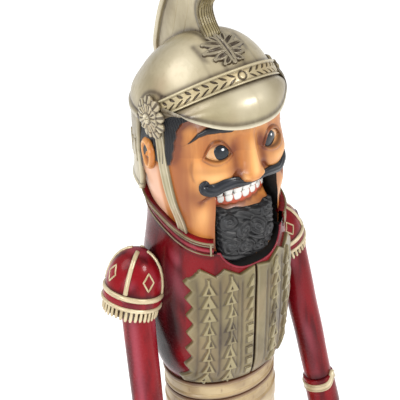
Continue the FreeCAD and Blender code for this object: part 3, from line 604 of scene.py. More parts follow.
def head_shape():
    """The carved head: the heights of its rows, its points and its marks."""
    z = np.concatenate([np.linspace(309, 334, 34)[:-1], np.linspace(334, SLOT_ROOF, 40)[:-1],
                        np.linspace(SLOT_ROOF, 388, 150)[:-1], np.linspace(388, 404, 12)])
    angle = slotted_columns(HEAD, z, HEAD_SLOT_COLS, 190, 60)
    zz = np.broadcast_to(z[:, None], angle.shape)
    base = HEAD.point(angle, zz)
    x, front = base[..., 0], smooth(0.1, -0.1, np.cos(angle) * -1)
    side = np.abs(x)

    # Sockets and lids: an almond leaning down towards the nose, as wide as it is tall plus a half.
    uneven = smooth(2, 12, x) * smooth(350, 358, zz)
    along = (side - 16.8 - 1.0 * uneven) / (5.9 + 1.4 * uneven)
    lean = 366.0 - 0.4 * along - 2.8 * uneven
    fall = np.clip(np.abs(along), 0, 1.4)
    up, low = 6.1 * (1 - fall ** 2.2), 2.5 * (1 - fall ** 2.0)
    off = zz - lean
    inside = np.where(off > 0, up - off, low + off)
    inside = np.where(np.abs(along) > 1.25, -9, inside) * front - 9 * (1 - front)
    eye = smooth(-0.5, 0.5, inside)
    out = -2.7 * eye
    out = out + 0.95 * bell(inside + 1.0, 0.95) * smooth(26, 21, x) * front
    out = out - 0.4 * bell(inside + 2.4, 0.5) * smooth(-0.4, 0.6, off / 5) * front
    socket = bell(np.hypot((side - 16.4) / 1.5, off - 3), 8.5)
    out = out - 1.2 * socket * (1 - eye) * front + swell(x) * window(zz, 346, 356, 376, 384) * front

    # Brow ridge, cheek, folds and chin corners.
    brow = np.interp(side, [7, 9.5, 15, 20.4, 24, 27.6, 30],
                     [379.4, 380.0, 381.0, 380.4, 378.2, 373.8, 371.5])
    thick = np.interp(side, [8, 9.5, 14, 20, 25, 28, 28.4], [0, 1.1, 1.55, 1.35, 0.8, 0.2, 0])
    brow_in = 1.35 * thick - np.abs(zz - brow)
    out = out + (1.4 * bell(zz - brow, 3.4) * smooth(31, 24, side) + 0.8 * smooth(-0.2, 0.7, brow_in)) * front
    out = out + 2.0 * bell(np.hypot(side - 20.5, (zz - 355.5) * 1.15), 8.5) * front
    fold = np.interp(zz, [334, 341, 346, 352, 357], [27.5, 25.9, 20, 11, 7.6])
    out = out - 1.0 * bell(side - fold, 1.2) * window(zz, 335, 341, 353, 359) * front
    out = out + 0.9 * bell(np.hypot(side - 27, (zz - 338) * 0.5), 4.2) * front
    crow = bell(side - 27.6 - 0.9 * np.sin((zz - 352) / 4), 0.55) * window(zz, 350.5, 353.5, 361, 366)
    out = out - 0.35 * crow * front

    nose, wide = nose_shape(side, zz)
    out = out + nose * front
    out = out - 0.9 * bell(np.hypot((side - 8.6), (zz - 352.6) * 0.6), 1.5) * front
    out = out - 1.3 * bell(side - 7.4, 2.4) * window(zz, 357, 364, 371, 377) * front

    turn, edge, hair, lock = hair_shape(angle, zz)
    out = out + hair * (1.3 + 0.35 * lock + 2.2 * smooth(378, 390, zz) * smooth(90, 70, turn))
    out = out - 5.0 * smooth(381, 388, zz) * smooth(70, 95, turn)

    points = HEAD.point(angle, zz, out)
    # Painted brown shade: under the visor, round and above the eyes, along the hairline, in the folds, beside
    # the nose and under the eyes, at the mouth corners and slot edges, under the moustache, by the strap and
    # low on the head by the collar.
    burn = (1.1 * smooth(378, 386, zz) * smooth(4, 12, side) * front
            + 0.6 * bell(np.hypot(side - 27, (zz - 343) * 0.7), 3.4) + 0.4 * bell(inside + 1.6, 1.2)
            + 0.45 * socket * (off > 0) + 0.55 * bell(turn - edge + 2, 3.5) * smooth(358, 362, zz)
            + 0.6 * bell(side - fold, 1.6) * window(zz, 335, 341, 353, 359)
            + 0.85 * bell(side - 8.8, 3.0) * window(zz, 347, 354, 366, 378)
            + 0.35 * bell(side - 20, 9) * bell(zz - 358.5, 2.2)
            + 0.45 * bell(side - wide - 1.5, 1.2) * window(zz, 347, 350, 354, 360)
            + 0.6 * smooth(19.8, 18.6, side) * smooth(347.5, 345.5, zz) + 0.5 * smooth(350.5, 347.0, zz)
            * smooth(26, 20, side) + 0.6 * bell(side - 31.5, 3.2) * (turn < 80)
            + 0.7 * smooth(318, 311, zz) * (turn < 76)) * smooth(100, 76, turn)
    lid = (0.75 * bell(inside + 0.1, 0.38) * front
           + 0.5 * bell(inside + 2.3, 0.4) * smooth(-0.4, 0.6, off / 5) * front)
    lid = lid + 0.55 * bell(inside + 2.4, 0.4) * smooth(0.0, -0.6, off / 5) * smooth(-0.2, 0.9, along) * front
    dark = np.clip(lid + 0.3 * crow * front
                   + 0.7 * bell(np.hypot(side - 3.2, (zz - 348.9) * 1.2), 1.4) * front, 0, 1)
    # Painted highlights on the cheeks, down the nose bridge, on the nostril wing, on the forehead and on the
    # cheeks beside the mouth.
    light = (bell(np.hypot(side - 20, zz - 355), 7) + bell(side, 2.2) * window(zz, 351, 356, 368, 376)
             + 0.8 * bell(np.hypot(side - 5.3, zz - 353), 1.8) + 0.5 * bell(np.hypot(side, zz - 383), 6)
             + 0.6 * bell(np.hypot(side - 25.5, (zz - 332) * 0.4), 3.4)) * front
    marks = dict(burn=np.clip(burn, 0, 1), dark=dark, light=np.clip(light, 0, 1),
                 hair=np.clip(hair + smooth(-0.25, 0.25, brow_in) * front, 0, 1),
                 throat=smooth(77, 84, turn) * smooth(360, 355, zz) * (1 - hair))
    return z, points, marks


def head():
    z, points, marks = head_shape()
    rows, cols = points.shape[:2]
    faces = grid_faces(rows, cols, wrap=True)
    below_roof = (faces // cols).min(1) < (z < SLOT_ROOF - 0.01).sum()
    column = faces % cols
    hole = below_roof & (column.max(1) < HEAD_SLOT_COLS) & (column.min(1) < HEAD_SLOT_COLS - 1)
    build("head", points, faces[~hole], SKIN, ["head_block", "nose"], marks)
    slot_rows = z < SLOT_ROOF + 0.1
    roof = points[np.argmin(abs(z - SLOT_ROOF)), :HEAD_SLOT_COLS]
    slot_lining("head_slot_lining", points[slot_rows, 0], points[slot_rows, HEAD_SLOT_COLS - 1], roof, 14)


head()


# ---------------------------------------------------------------- eyes and ears

def eye_patch(sign, centre, reach, out):
    """A lens that lies on the face: rings of a radius share, standing off by a rule of that share."""
    share, turn = np.linspace(1, 0.02, 26)[:, None], turns(72)[None]
    x = centre[0] + reach[0] * share * np.cos(turn)
    zed = centre[1] + reach[1] * share * np.sin(turn)
    points = HEAD.front(x, zed, out(share) + swell(x) * (sign > 0) + 0 * turn)
    floor = HEAD.front(x[:1], zed[:1], -4.5)
    points, faces = closed_grid(np.concatenate([floor, points])[::-1])
    return on_side(sign, (points, reversed_faces(faces)))


def eye(sign, name):
    """A domed white and iris; the eye on the figure's left sits lower and nearer the ear."""
    across, up = (0.9, -3.4) if sign > 0 else (0, -0.9)
    points, faces = eye_patch(sign, (16.6 + across, 367.6 + up), (8.8, 6.8),
                              lambda share: -2.3 + 1.5 * (1 - share ** 2))
    # The white darkens towards its rim and more under the upper lid, as painted shade.
    shade = np.hypot((points[:, 0] * sign - 17.1 - across) / 7.0, (points[:, 2] - 367.6 - up) / 5.6)
    piece("eye_white_" + name, EYE_WHITE, (points, faces),
          recess=0.85 * smooth(0.6, 1.0, shade + 0.12 * (points[:, 2] > 370)))
    points, faces = eye_patch(sign, (15.3 + across, 368.2 + up), (3.75 + 0.9 * (sign > 0), 4.1),
                              lambda share: -1.25 + 0.75 * (1 - share ** 2) ** 0.5)
    # A painted glint on the iris.
    spot = np.hypot(points[:, 0] - sign * (15.3 + across) - 0.9, points[:, 2] - 370.3 - up)
    piece("iris_" + name, IRIS, (points, faces), light=smooth(0.75, 0.45, spot))


def ear(sign, name):
    """A flattened oval with a raised rim, a hollow and a small lobe."""
    u, v = np.meshgrid(np.linspace(0, 1, 30), turns(60), indexing="ij")
    reach = np.sin(u * np.pi / 2)
    lift = 4.0 * np.sqrt(np.clip(1 - reach ** 2, 0, 1)) ** 0.6 * (1 - 0.65 * bell(reach - 0.35, 0.33))
    lift = lift + 0.7 * bell(reach - 0.78, 0.12)
    y = 0.2 + 7.4 * reach * np.cos(v) * (1 + 0.18 * np.sin(v))
    zed = 362 + 8.8 * reach * np.sin(v)
    points, faces = closed_grid(np.stack([sign * (36.3 + lift - 0.25 * (y - 2)), y, zed], -1)[::-1])
    faces = reversed_faces(faces) if sign < 0 else faces
    # Painted shade in the hollow and a painted highlight along the rim.
    burn = (0.8 * bell(reach - 0.45, 0.2))[::-1].ravel()
    piece("ear_shape_" + name, SKIN, (points, faces), ["ear_" + name],
          burn=np.append(burn, [0.5, 0.5]), light=capped((0.7 * bell(reach - 0.78, 0.1))[::-1]))


for sign, name in SIDES:
    eye(sign, name)
    ear(sign, name)


# ---------------------------------------------------------------- moustache and teeth

def head_path(points, out):
    """A path over the face through (x, z) points, standing off by some amount."""
    points = np.asarray(points, float)
    steps, knots = np.linspace(0, 1, LOCK_STEPS), np.linspace(0, 1, len(points))
    curve = np.stack([spline(knots, points[:, k], steps) for k in (0, 1)], -1)
    return HEAD.front(curve[:, 0], curve[:, 1], np.interp(steps, knots, out))


LOCK_STEPS, LOCK_SIDES, LOCK_STRANDS = 70, 48, 9
LOCK_WAVE = np.sin(turns(LOCK_SIDES)[None] * LOCK_STRANDS + np.linspace(0, 3, LOCK_STEPS)[:, None])


def hair_lock(path, radius):
    """A tapering flattened lock with grooves along it."""
    points, faces = tube(path, radius, LOCK_SIDES, 0.62, [0, -1, 0])
    core = np.repeat(np.asarray(path)[:, None], LOCK_SIDES, 1)
    grid = points[:-2].reshape(len(path), LOCK_SIDES, 3)
    grid = core + (grid - core) * (1 + 0.06 * LOCK_WAVE[..., None])
    return np.concatenate([grid.reshape(-1, 3), points[-2:]]), faces


def moustache():
    """Two separate locks; the one on the figure's left is thinner and curls higher."""
    stand_off = [0.5, 0.7, 0.8, 0.9, 1.1, 1.6, 1.8, 1.8, 1.7]
    thick = np.interp(np.linspace(0, 1, LOCK_STEPS), [0, 0.15, 0.35, 0.5, 0.65, 0.8, 0.94, 1],
                      [1.2, 2.4, 3.6, 3.9, 3.2, 1.9, 1.1, 0.45])
    right = [(0.4, 347.4), (5, 348.9), (10, 350.4), (15.8, 350.0), (20.5, 348.2), (24.0, 348.9),
             (25.2, 351.0), (24.0, 352.6), (22.6, 351.6)]
    left = [(0.4, 347.4), (5, 348.6), (10, 349.0), (15.8, 348.0), (20.5, 347.2), (24.4, 349.2), (25.8, 352.0),
            (25.9, 354.0), (25.5, 355.0)]
    heap = Heap()
    for sign, line, share in ((-1, right, 1.0), (1, left, 0.74)):
        lock = hair_lock(head_path(line, stand_off), thick * share)
        # A painted sheen along the ridges of the strands.
        heap.add(*on_side(sign, lock), light=capped(0.75 * smooth(0.3, 1, LOCK_WAVE)))
    heap.make("moustache_hair", HAIR, ["moustache"])


moustache()


def tooth(heap, centre, width, height, depth, angle, root, round_low):
    """A rounded block with softened corners; root darkens the end set in the gum."""
    u, v = np.meshgrid(np.linspace(-np.pi / 2, np.pi / 2, 15), turns(32), indexing="ij")
    power = lambda t, e: np.sign(t) * np.abs(t) ** e
    x = width / 2 * power(np.cos(u), 0.35) * power(np.cos(v), 0.45)
    y = depth / 2 * power(np.cos(u), 0.35) * power(np.sin(v), 0.55)
    zed = height / 2 * power(np.sin(u), 0.5)
    x = x * (1 - round_low * smooth(0.0, 1.1, -zed / (height / 2)) * 0.6)
    c, s = math.cos(angle), math.sin(angle)
    points, faces = closed_grid(np.stack([x * c - y * s, x * s + y * c, zed], -1) + centre)
    heap.add(points, faces, recess=smooth(0.5, 1.15, root * (points[:, 2] - centre[2]) / (height / 2)) * 0.5)


def tooth_row(name, node, body, widths, overlap, height_at, root, place_at, angle, depth, round_low):
    """A row of teeth side by side; place_at gives y and z from x and the tooth's height."""
    teeth = Heap()
    starts = np.cumsum(widths) - np.array(widths) / 2 - sum(widths) / 2
    for x, wide in zip(starts, widths):
        tall = height_at(x)
        tooth(teeth, np.array([x, *place_at(x, tall)]), wide * overlap, tall, depth, angle * x / 18, root,
              round_low)
    teeth.make(name, ENAMEL, [node], sharp=50, body=body)


tooth_row("upper_tooth_row", "upper_teeth", FIGURE, [3.6, 4.6, 4.9, 5.4, 5.4, 4.9, 4.6, 3.6], 0.99,
          lambda x: 8.6, 1, lambda x, tall: (-27.6 + 5.4 * (x / 18) ** 2, 342.2), 0.6, 4.2, 0.12)
tooth_row("lower_tooth_row", "lower_teeth", JAW, [3.2, 4.0, 4.7, 5.2, 5.2, 4.7, 4.0, 3.2], 1.02,
          lambda x: 4.4 - 1.2 * (x / 16) ** 2, -1,
          lambda x, tall: (-27.2 + 5.2 * (x / 18) ** 2, 337.7 - tall / 2), 0.55, 3.0, 0.6)


# ---------------------------------------------------------------- jaw: chin, lower teeth, beard and lever

def cad_copy(node, name, material, bevel, body=FIGURE):
    """A copy of a designed part with softened edges and a finished surface."""
    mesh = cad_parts[node].data.copy()
    mesh.name = name
    thing = bpy.data.objects.new(name, mesh)
    bpy.context.scene.collection.objects.link(thing)
    mesh.materials.clear()
    mesh.materials.append(material)
    mesh.shade_smooth()
    mesh.set_sharp_from_angle(angle=math.radians(32))
    if bevel:
        soft = thing.modifiers.new("soft edges", "BEVEL")
        soft.width, soft.segments, soft.limit_method = bevel * MM, 3, "ANGLE"
        soft.angle_limit = math.radians(32)
        soft.harden_normals = True
    settle(thing, [node], body)
    return thing


CHIN_HALF, CHIN_TOP = 17.4, 337.3


def chin():
    u, v = np.meshgrid(np.linspace(-1, 1, 150), np.linspace(0, 1, 150))
    x = CHIN_HALF * u
    low = SLOT_LOW + SLOT_CORNER - np.sqrt(SLOT_CORNER ** 2 - np.clip(np.abs(x) - 3, 0, 16) ** 2) + 2.5
    z = low + (CHIN_TOP - low) * v
    back = smooth(324, 334, z)
    y = -30.0 - 1.3 * (1 - u ** 2) - 0.6 * bell(z - 326.5, 4.0) * (1 - u ** 4) + back * (3.6 + 3.0 * u ** 2)
    edge = (1 - np.abs(u)) * CHIN_HALF
    y = y + 0.7 * smooth(0.9, 0, edge) + 0.8 * smooth(0.8, 0, CHIN_TOP - z)
    scallop = 332.4 + 2.0 * (x / 18) ** 2 - 0.7 * np.abs(np.cos(x * math.pi / 4.8))
    gum = smooth(-0.35, 0.35, z - scallop)
    y = y - 0.55 * gum + 1.6 * smooth(327, 323, z)
    # Painted shade at the sides by the slot, under the gum line and in a band above the beard.
    burn = (0.55 * smooth(2.0, 0.2, edge) + 0.9 * bell(z - scallop + 0.6, 1.1)
            + 0.5 * bell(z - 329.5 + 0.13 * x, 1.8))
    shape = shell(np.stack([x, y, z], -1), np.stack([x, np.full_like(y, -21.5), z], -1))
    piece("chin_front", SKIN, shape, body=JAW, gum=twice(gum), burn=twice(np.clip(burn, 0, 1)), light=0.0)


chin()
lever = cad_copy("jaw_lever", "lever_wooden", LEVER_WOOD, 0.7, JAW)
for corner in lever.data.vertices:      # the top of the front narrows and leans back behind the lower teeth
    if corner.co.z > 290 * MM and corner.co.y < -10 * MM:
        corner.co.x *= 0.92
    if corner.co.y > 30 * MM:
        corner.co.x *= 0.85
    if corner.co.z > 325 * MM and corner.co.y < -21 * MM:
        corner.co.y = -21 * MM

# Curls as centre x and z, reach and the way they wind.
CURLS = ((4.2, 318.4, 7.0, 1), (-4.8, 319.4, 5.8, -1), (-12.0, 311.0, 6.0, 1), (-3.4, 307.6, 6.2, -1),
         (11.6, 325.0, 5.0, -1), (12.6, 311.6, 5.2, 1), (6.6, 303.4, 5.4, -1), (-13.2, 325.4, 5.2, 1))


def beard_shape():
    u, v = np.meshgrid(np.linspace(-1, 1, 220), np.linspace(0, 1, 230))
    x = 18.1 * u + 0.2
    side = np.abs(x)
    low = SLOT_LOW + SLOT_CORNER - np.sqrt(SLOT_CORNER ** 2 - np.clip(side - 3.4, 0, 16) ** 2) + 1.0
    top = 328.9 - 0.13 * x + 1.4 * smooth(9.5, 13.8, side) + 0.7 * bell(x + 5, 3)
    z = low + (top - low) * v
    dome = (1 - np.abs(u) ** 4) * (0.4 + 0.6 * window(v, 0, 0.55, 0.6, 1.12))
    y = -30.6 - 5.4 * dome
    relief = 0.45 * np.sin((x * 0.55 + z * 1.1) * 1.7 + 1.6 * np.sin(x * 0.35))
    best = np.zeros_like(x)
    for cx, cz, reach, way in CURLS:
        dx = x - cx + 0.7 * np.sin(z * 0.5 + cx)
        dz = (z - cz) * 1.12 + 0.6 * np.sin(x * 0.55 + cz)
        r, turn = np.hypot(dx, dz), np.arctan2(dz, dx * way)
        swirl = np.sin(2 * np.pi * r / 2.7 - turn - 0.8) * smooth(0, 0.7, r)
        near = np.clip(1 - r / reach, 0, 1)
        weight = smooth(0, 0.22, near) * (near > best)
        relief = relief * (1 - weight) + weight * (0.55 * swirl + 1.1 * near)
        relief = np.where(near > 0, relief - 0.7 * bell(near, 0.07), relief)
        best = np.maximum(best, near)
    y = y - 0.85 * relief
    edge = np.minimum(18.1 * (1 - np.abs(u)), np.minimum(z - low, top - z))
    y = y + 1.6 * smooth(1.3, 0, edge)
    y = np.maximum(y, -2 - np.sqrt(36.7 ** 2 - (z - 320) ** 2))
    shape = shell(np.stack([x, y, z], -1), np.stack([x, np.full_like(y, -20.0), z], -1))
    # A painted sheen on the tops of the curls and painted shade in their hollows.
    piece("beard_curls", BEARD, shape, ["beard"], body=JAW,
          light=twice(0.75 * smooth(0.5, 1.5, relief)), recess=twice(0.8 * smooth(0, -0.9, relief)))


beard_shape()


# ---------------------------------------------------------------- helmet

DOME_CENTRE, DOME_REACH = np.array([0, 1.5, 380.0]), np.array([38.0, 42.0, 41.0])
BAND_TILT, BAND_HALF = math.radians(35), 4.25


def dome_fall(y, z):
    """The bowl sits lower towards the back."""
    return 6.0 * smooth(-8, 28, y) * smooth(382, 404, z)


def dome_at(turn, rise, out=0.0):
    """A point of the helmet dome: turn from straight ahead, rise above its rim, moved out by some amount."""
    unit = np.stack(np.broadcast_arrays(np.cos(rise) * np.sin(turn), -np.cos(rise) * np.cos(turn),
                                        np.sin(rise)), -1)
    normal = unit / DOME_REACH
    normal = normal / np.linalg.norm(normal, axis=-1)[..., None]
    points = DOME_CENTRE + unit * DOME_REACH + normal * np.asarray(out, float)[..., None]
    points[..., 2] -= dome_fall(points[..., 1], points[..., 2])
    return points


def dome_top(y):
    """Height of the round bowl's middle line."""
    return 380 + 41 * np.sqrt(np.clip(1 - ((y - 1.5) / 42) ** 2, 0, 1))


def band_distance(points):
    """How far points stand above the tilted plane of the brow band."""
    return ((points[..., 2] - 405) + math.tan(BAND_TILT) * (points[..., 1] + 32)) * math.cos(BAND_TILT)


def band_rise(turn, distance):
    """The rise on the dome, at a turn, that lies at a distance from the plane of the band."""
    across = math.tan(BAND_TILT) * 42 * np.cos(turn)
    want = distance / math.cos(BAND_TILT) + 25 - 33.5 * math.tan(BAND_TILT)
    return np.arcsin(np.clip(want / np.hypot(41, across), -1, 1)) + np.arctan2(across, 41)


def strokes(u, v, lines):
    """1 inside tapering strokes (u0, v0, u1, v1, half width), 0 outside."""
    best = np.zeros(np.broadcast(u, v).shape)
    for u0, v0, u1, v1, width in lines:
        du, dv = u1 - u0, v1 - v0
        t = np.clip(((u - u0) * du + (v - v0) * dv) / (du * du + dv * dv), 0, 1)
        gap = np.hypot(u - u0 - t * du, v - v0 - t * dv)
        taper = 0.45 + 0.9 * np.sin(np.pi * np.clip(t, 0.08, 0.92))
        best = np.maximum(best, smooth(1.25, 0.6, gap / (width * taper)))
    return best


def helmet_dome():
    rise = np.linspace(0, math.pi / 2 * 0.995, 130)[:, None]
    turn = turns(320)[None]
    points = dome_at(turn, rise)
    x, y, zed = points[..., 0], points[..., 1], points[..., 2]
    d = band_distance(points)
    ahead, high_front = smooth(-4, -10, y), smooth(-2, -12, y) * smooth(402, 408, zed)
    line = np.abs(x) - 15 + 0.1 * (zed - 400)
    bead, crease = smooth(2.6, 2.2, zed - 380) * (y > -4), bell(zed - 383.6, 0.7) * (y > -4)
    out = 0.9 * bead - 0.15 * bell(line, 0.9) * high_front - 0.35 * crease
    # Dark wax in the grooves and round the band, the comb and the rosettes; the lower back is darker, as
    # painted shade.
    recess = (0.75 * bell(d - BAND_HALF - 0.6, 1.3) * ahead
              + 0.65 * bell(np.abs(x) - 5.6, 1.4) * smooth(406, 412, zed)
              + 0.8 * bell(np.hypot(y + 5.5, zed - 385) - 12.2, 1.2) + 0.9 * crease + 0.18 * bell(line, 0.8)
              * high_front + 0.6 * bell(np.abs(x) - 12.6, 1.5) * smooth(-7, -10, y) * smooth(411, 413, zed)
              + 0.35 * smooth(392, 382, zed) * (y > 2))
    # The rim bead is worn light; the broad patch on each side of the front is a painted highlight.
    light = 0.7 * bead + 0.35 * bell(np.hypot(np.abs(x) - 19, (y + 12) * 0.7), 9)
    hidden = np.append(((d < -BAND_HALF + 1.5) & (y < -10)).ravel(), [True, False])
    points, faces = closed_grid(dome_at(turn, rise, out))
    faces = [face for face in faces if not all(hidden[v] for v in face)]
    piece("helmet_bowl", GOLD, (points, faces), ["helmet_dome"], recess=capped(recess), light=capped(light))


helmet_dome()


def brow_band():
    turn = np.linspace(-math.radians(76), math.radians(76), 520)[None]
    d = np.linspace(-BAND_HALF, BAND_HALF, 56)[:, None]
    points = dome_at(turn, band_rise(turn, d))
    middle = dome_at(turn[0], band_rise(turn[0], 0.0))
    step = walk(middle)
    s = (step - step[-1] / 2)[None] + 0 * d
    d = d + 0 * turn
    lines = [(start + 0.2, up * 0.55, start + 3.5, up * 2.45, 0.42)
             for start in 4.2 + 4.6 * np.arange(13) for up in (1, -1)]
    cut = np.maximum(strokes(np.abs(s), d, lines), bell(np.hypot(s, d) - 2.1, 0.42))
    bead = bell(np.abs(d) - BAND_HALF + 0.75, 0.55)
    out = 1.65 - 0.75 * cut + 0.55 * bead - 0.35 * bell(np.abs(d) - BAND_HALF + 1.7, 0.4)
    out = np.where(np.abs(d) > BAND_HALF - 0.12, -0.6, out)
    out[:, [0, -1]] = -0.6
    rise = band_rise(turn, d)
    points, faces = shell(dome_at(turn, rise, out), dome_at(turn, rise, np.full(out.shape, -1.0)))
    # Dark wax in the cut leaves and grooves; the lower edge is darkened as painted shade.
    recess = np.clip(cut * 1.2 + 1.0 * smooth(BAND_HALF - 0.6, BAND_HALF - 0.1, np.abs(d)) * (d < 0)
                     + 0.5 * bell(np.abs(d) - BAND_HALF + 1.6, 0.35), 0, 1)
    piece("brow_band_laurel", BAND_GOLD, (points, reversed_faces(faces)), ["helmet_brow_band"],
          recess=twice(recess), light=twice(0.6 * bead + 0.25 * (1 - cut)))


brow_band()


def visor():
    rows, cols = 70, 180
    u = np.linspace(-1, 1, cols)
    turn = u * math.radians(70)
    root = dome_at(turn, band_rise(turn, -BAND_HALF + 0.5), np.full(cols, 0.3))
    side = np.abs(u)
    at = [0, 0.15, 0.3, 0.45, 0.6, 0.75, 0.88, 1.0]
    lip = np.stack([spline(at, [0, 6.6, 13.2, 19.4, 25.2, 30.2, 33.8, 36.3], side) * np.sign(u),
                    spline(at, [-46.4, -45.6, -43.4, -39.6, -34.6, -29, -22.6, -14], side),
                    spline(at, [383.4, 383.5, 384.0, 385.0, 386.8, 389.0, 391.4, 392.5], side)], -1)
    v = np.linspace(0, 1, rows)[:, None, None]
    bulge = np.stack([lip[:, 0], lip[:, 1] * 1.02, root[:, 2] - 0.1 * (root[:, 2] - lip[:, 2])], -1)
    bulge = root + (bulge - root) * smooth(1.0, 0.75, side)[:, None]
    grid = (1 - v) ** 2 * root + 2 * v * (1 - v) * bulge + v ** 2 * lip
    normal = np.cross(np.gradient(grid, axis=1), np.gradient(grid, axis=0))
    normal /= np.linalg.norm(normal, axis=-1)[..., None] + 1e-9
    if normal[rows // 2, cols // 2, 1] > 0:
        normal = -normal
    edge = (1 - v[..., 0]) * np.linalg.norm(lip - root, axis=1)[None]
    grid = grid + normal * (0.45 * smooth(1.5, 1.1, edge))[..., None]
    v, side = v[..., 0], side[None]
    # Dark wax behind the lip; painted shade at the root under the band, towards the sides and over the
    # underside.
    recess = np.clip(0.7 * bell(edge - 1.9, 1.1) + 0.95 * smooth(0.22, 0.0, v)
                     + 0.6 * smooth(0.55, 0.95, side) + 0.4 * smooth(0.8, 1, side) * (1 - v), 0, 1)
    # The lip is worn light; the broad patch on the middle of the peak is a painted highlight.
    light = np.clip(0.9 * smooth(1.5, 1.1, edge)
                    + 0.75 * bell(np.hypot((side - 0.1) * 2.4, v * 1.3 - 0.5), 0.55), 0, 1)
    piece("visor_peak", GOLD, shell(grid, grid - normal * 1.5), ["helmet_visor"], sharp=60,
          recess=outer_only(recess, 0.8), light=outer_only(light, 0.0))


visor()


def emblem():
    """A sprig of leaves in low relief."""
    u, v = np.meshgrid(np.linspace(-13.5, 13.5, 190), np.linspace(-10, 10.5, 150))
    leaves = [(0, -8.6, 0, 8.6, 2.5)]
    veins = [(0, -7.6, 0, 7.6, 0.4)]
    for side in (-1, 1):
        for root, tip_u, tip_v, width in ((-6, 5.6, -8.0, 1.7), (-3.4, 8.6, -4.0, 1.9),
                                          (-0.6, 11.4, 1.6, 2.1), (1.8, 9.0, 6.6, 2.0), (4.4, 4.6, 9.0, 1.5)):
            leaves.append((side * 0.8, root, side * tip_u, tip_v, width))
            for spread in (-0.75, 0.0, 0.75):
                veins.append((side * 1.8, root + 0.12 * (tip_v - root) + spread,
                              side * tip_u * (0.86 - 0.1 * abs(spread)), root + 0.86 * (tip_v - root)
                              + spread * 0.7, 0.27))
    shape, vein = strokes(u, v, leaves), strokes(u, v, veins)
    edge = bell(shape - 0.55, 0.22)
    turn = np.arctan2(u / 38, (20.6 - v) / 42)
    rise = 0.5 * math.pi - 1.04 * np.hypot(u / 38, (20.6 - v) / 42)
    out = -0.5 + 2.0 * shape - 0.7 * vein * shape
    piece("emblem_foliage", GOLD,
          shell(dome_at(turn, rise, out), dome_at(turn, rise, np.full(out.shape, -1.2))), ["helmet_emblem"],
          recess=twice(np.clip(0.5 + 1.3 * vein + 1.2 * edge, 0, 1)),
          light=twice(0.4 * smooth(0.8, 1, shape) * (1 - vein)))


emblem()


def rosette(sign, name):
    """Two layers of pointed petals, each with a groove, round a small boss."""
    rows, cols = 60, 216
    share = np.linspace(1, 0.0, rows)[:, None]
    turn = turns(cols)[None]
    outer_petal = np.abs(np.cos(turn * 4.5 + 0.3 * np.sin(2 * turn)))
    inner_petal = np.abs(np.cos(turn * 4.5 + 1.2))
    rim = 11.5 * (0.80 + 0.20 * outer_petal ** 0.7)
    r = share * rim
    layer = smooth(6.9 + 1.2 * inner_petal, 6.1 + 1.2 * inner_petal, r)
    petal = outer_petal * (1 - layer) + inner_petal * layer
    h = 1.7 + 1.2 * petal ** 0.6 * smooth(12, 7, r) * (1 - layer) + layer * (1.1 + 0.9 * petal ** 0.6)
    groove = bell((1 - petal) - 0.02, 0.06) * smooth(3.0, 4.2, r)
    boss = smooth(2.9, 2.5, r)
    h = h - 0.5 * groove * (1 - boss) + boss * (0.5 + 0.7 * np.sqrt(np.clip(1 - (r / 2.9) ** 2, 0, 1)))
    x = np.concatenate([np.zeros((1, cols)), h])
    radius = np.concatenate([rim + 0 * r[:1], r])
    y, zed = radius * np.cos(turn), radius * np.sin(turn)
    points, faces = closed_grid(np.stack([sign * (37.0 + x - zed * 0.05), -5.5 + y, 385 + zed], -1))
    faces = reversed_faces(faces) if sign < 0 else faces
    recess = np.clip(0.95 * groove + 0.9 * smooth(0.42, 0.1, petal) * smooth(2.9, 3.3, r)
                     + 0.9 * bell(r - 3.0, 0.45) + 0.8 * bell(r - 6.9 - 1.2 * inner_petal, 0.4), 0, 1)
    light = np.clip(0.55 * smooth(0.6, 1, petal) * (1 - groove) + 0.5 * boss, 0, 1)
    piece("rosette_petals_" + name, GOLD, (points, faces), ["rosette_" + name],
          recess=np.concatenate([np.full(cols, 0.8), recess.ravel(), [0.8, 0]]),
          light=np.concatenate([np.zeros(cols), light.ravel(), [0, 0]]))


def strap(sign, name):
    """A flat band from the rosette to the collar, with a bead along each edge."""
    zed, t = np.broadcast_arrays(np.linspace(313, 378, 110)[:, None], np.linspace(-3.6, 3.6, 26)[None])
    turn = HEAD.angle_at_depth(-13.6 + (zed - 345) * 0.16 + t * 0.8, zed, 1.0)
    out = 1.5 + 0.3 * bell(np.abs(t) - 2.7, 0.6) + 0.8 * smooth(368, 378, zed)
    out[:, [0, -1]] = -0.4
    shape = shell(HEAD.point(turn, zed, out), HEAD.point(turn, zed, -0.8))
    # Dark wax along the edges, worn light beads and a painted sheen down the middle; the lower end by the
    # collar is darkened as painted shade.
    piece("strap_" + name, GOLD, on_side(sign, shape), ["chin_strap_" + name],
          recess=twice(0.55 * bell(np.abs(t) - 3.5, 0.3) + 0.15 * bell(np.abs(t) - 1.7, 0.35)
                       + 0.48 * smooth(325, 316, zed)),
          light=twice(0.55 * bell(np.abs(t) - 2.7, 0.5) + 0.3 * bell(t, 1.2)))


for sign, name in SIDES:
    rosette(sign, name)
    strap(sign, name)


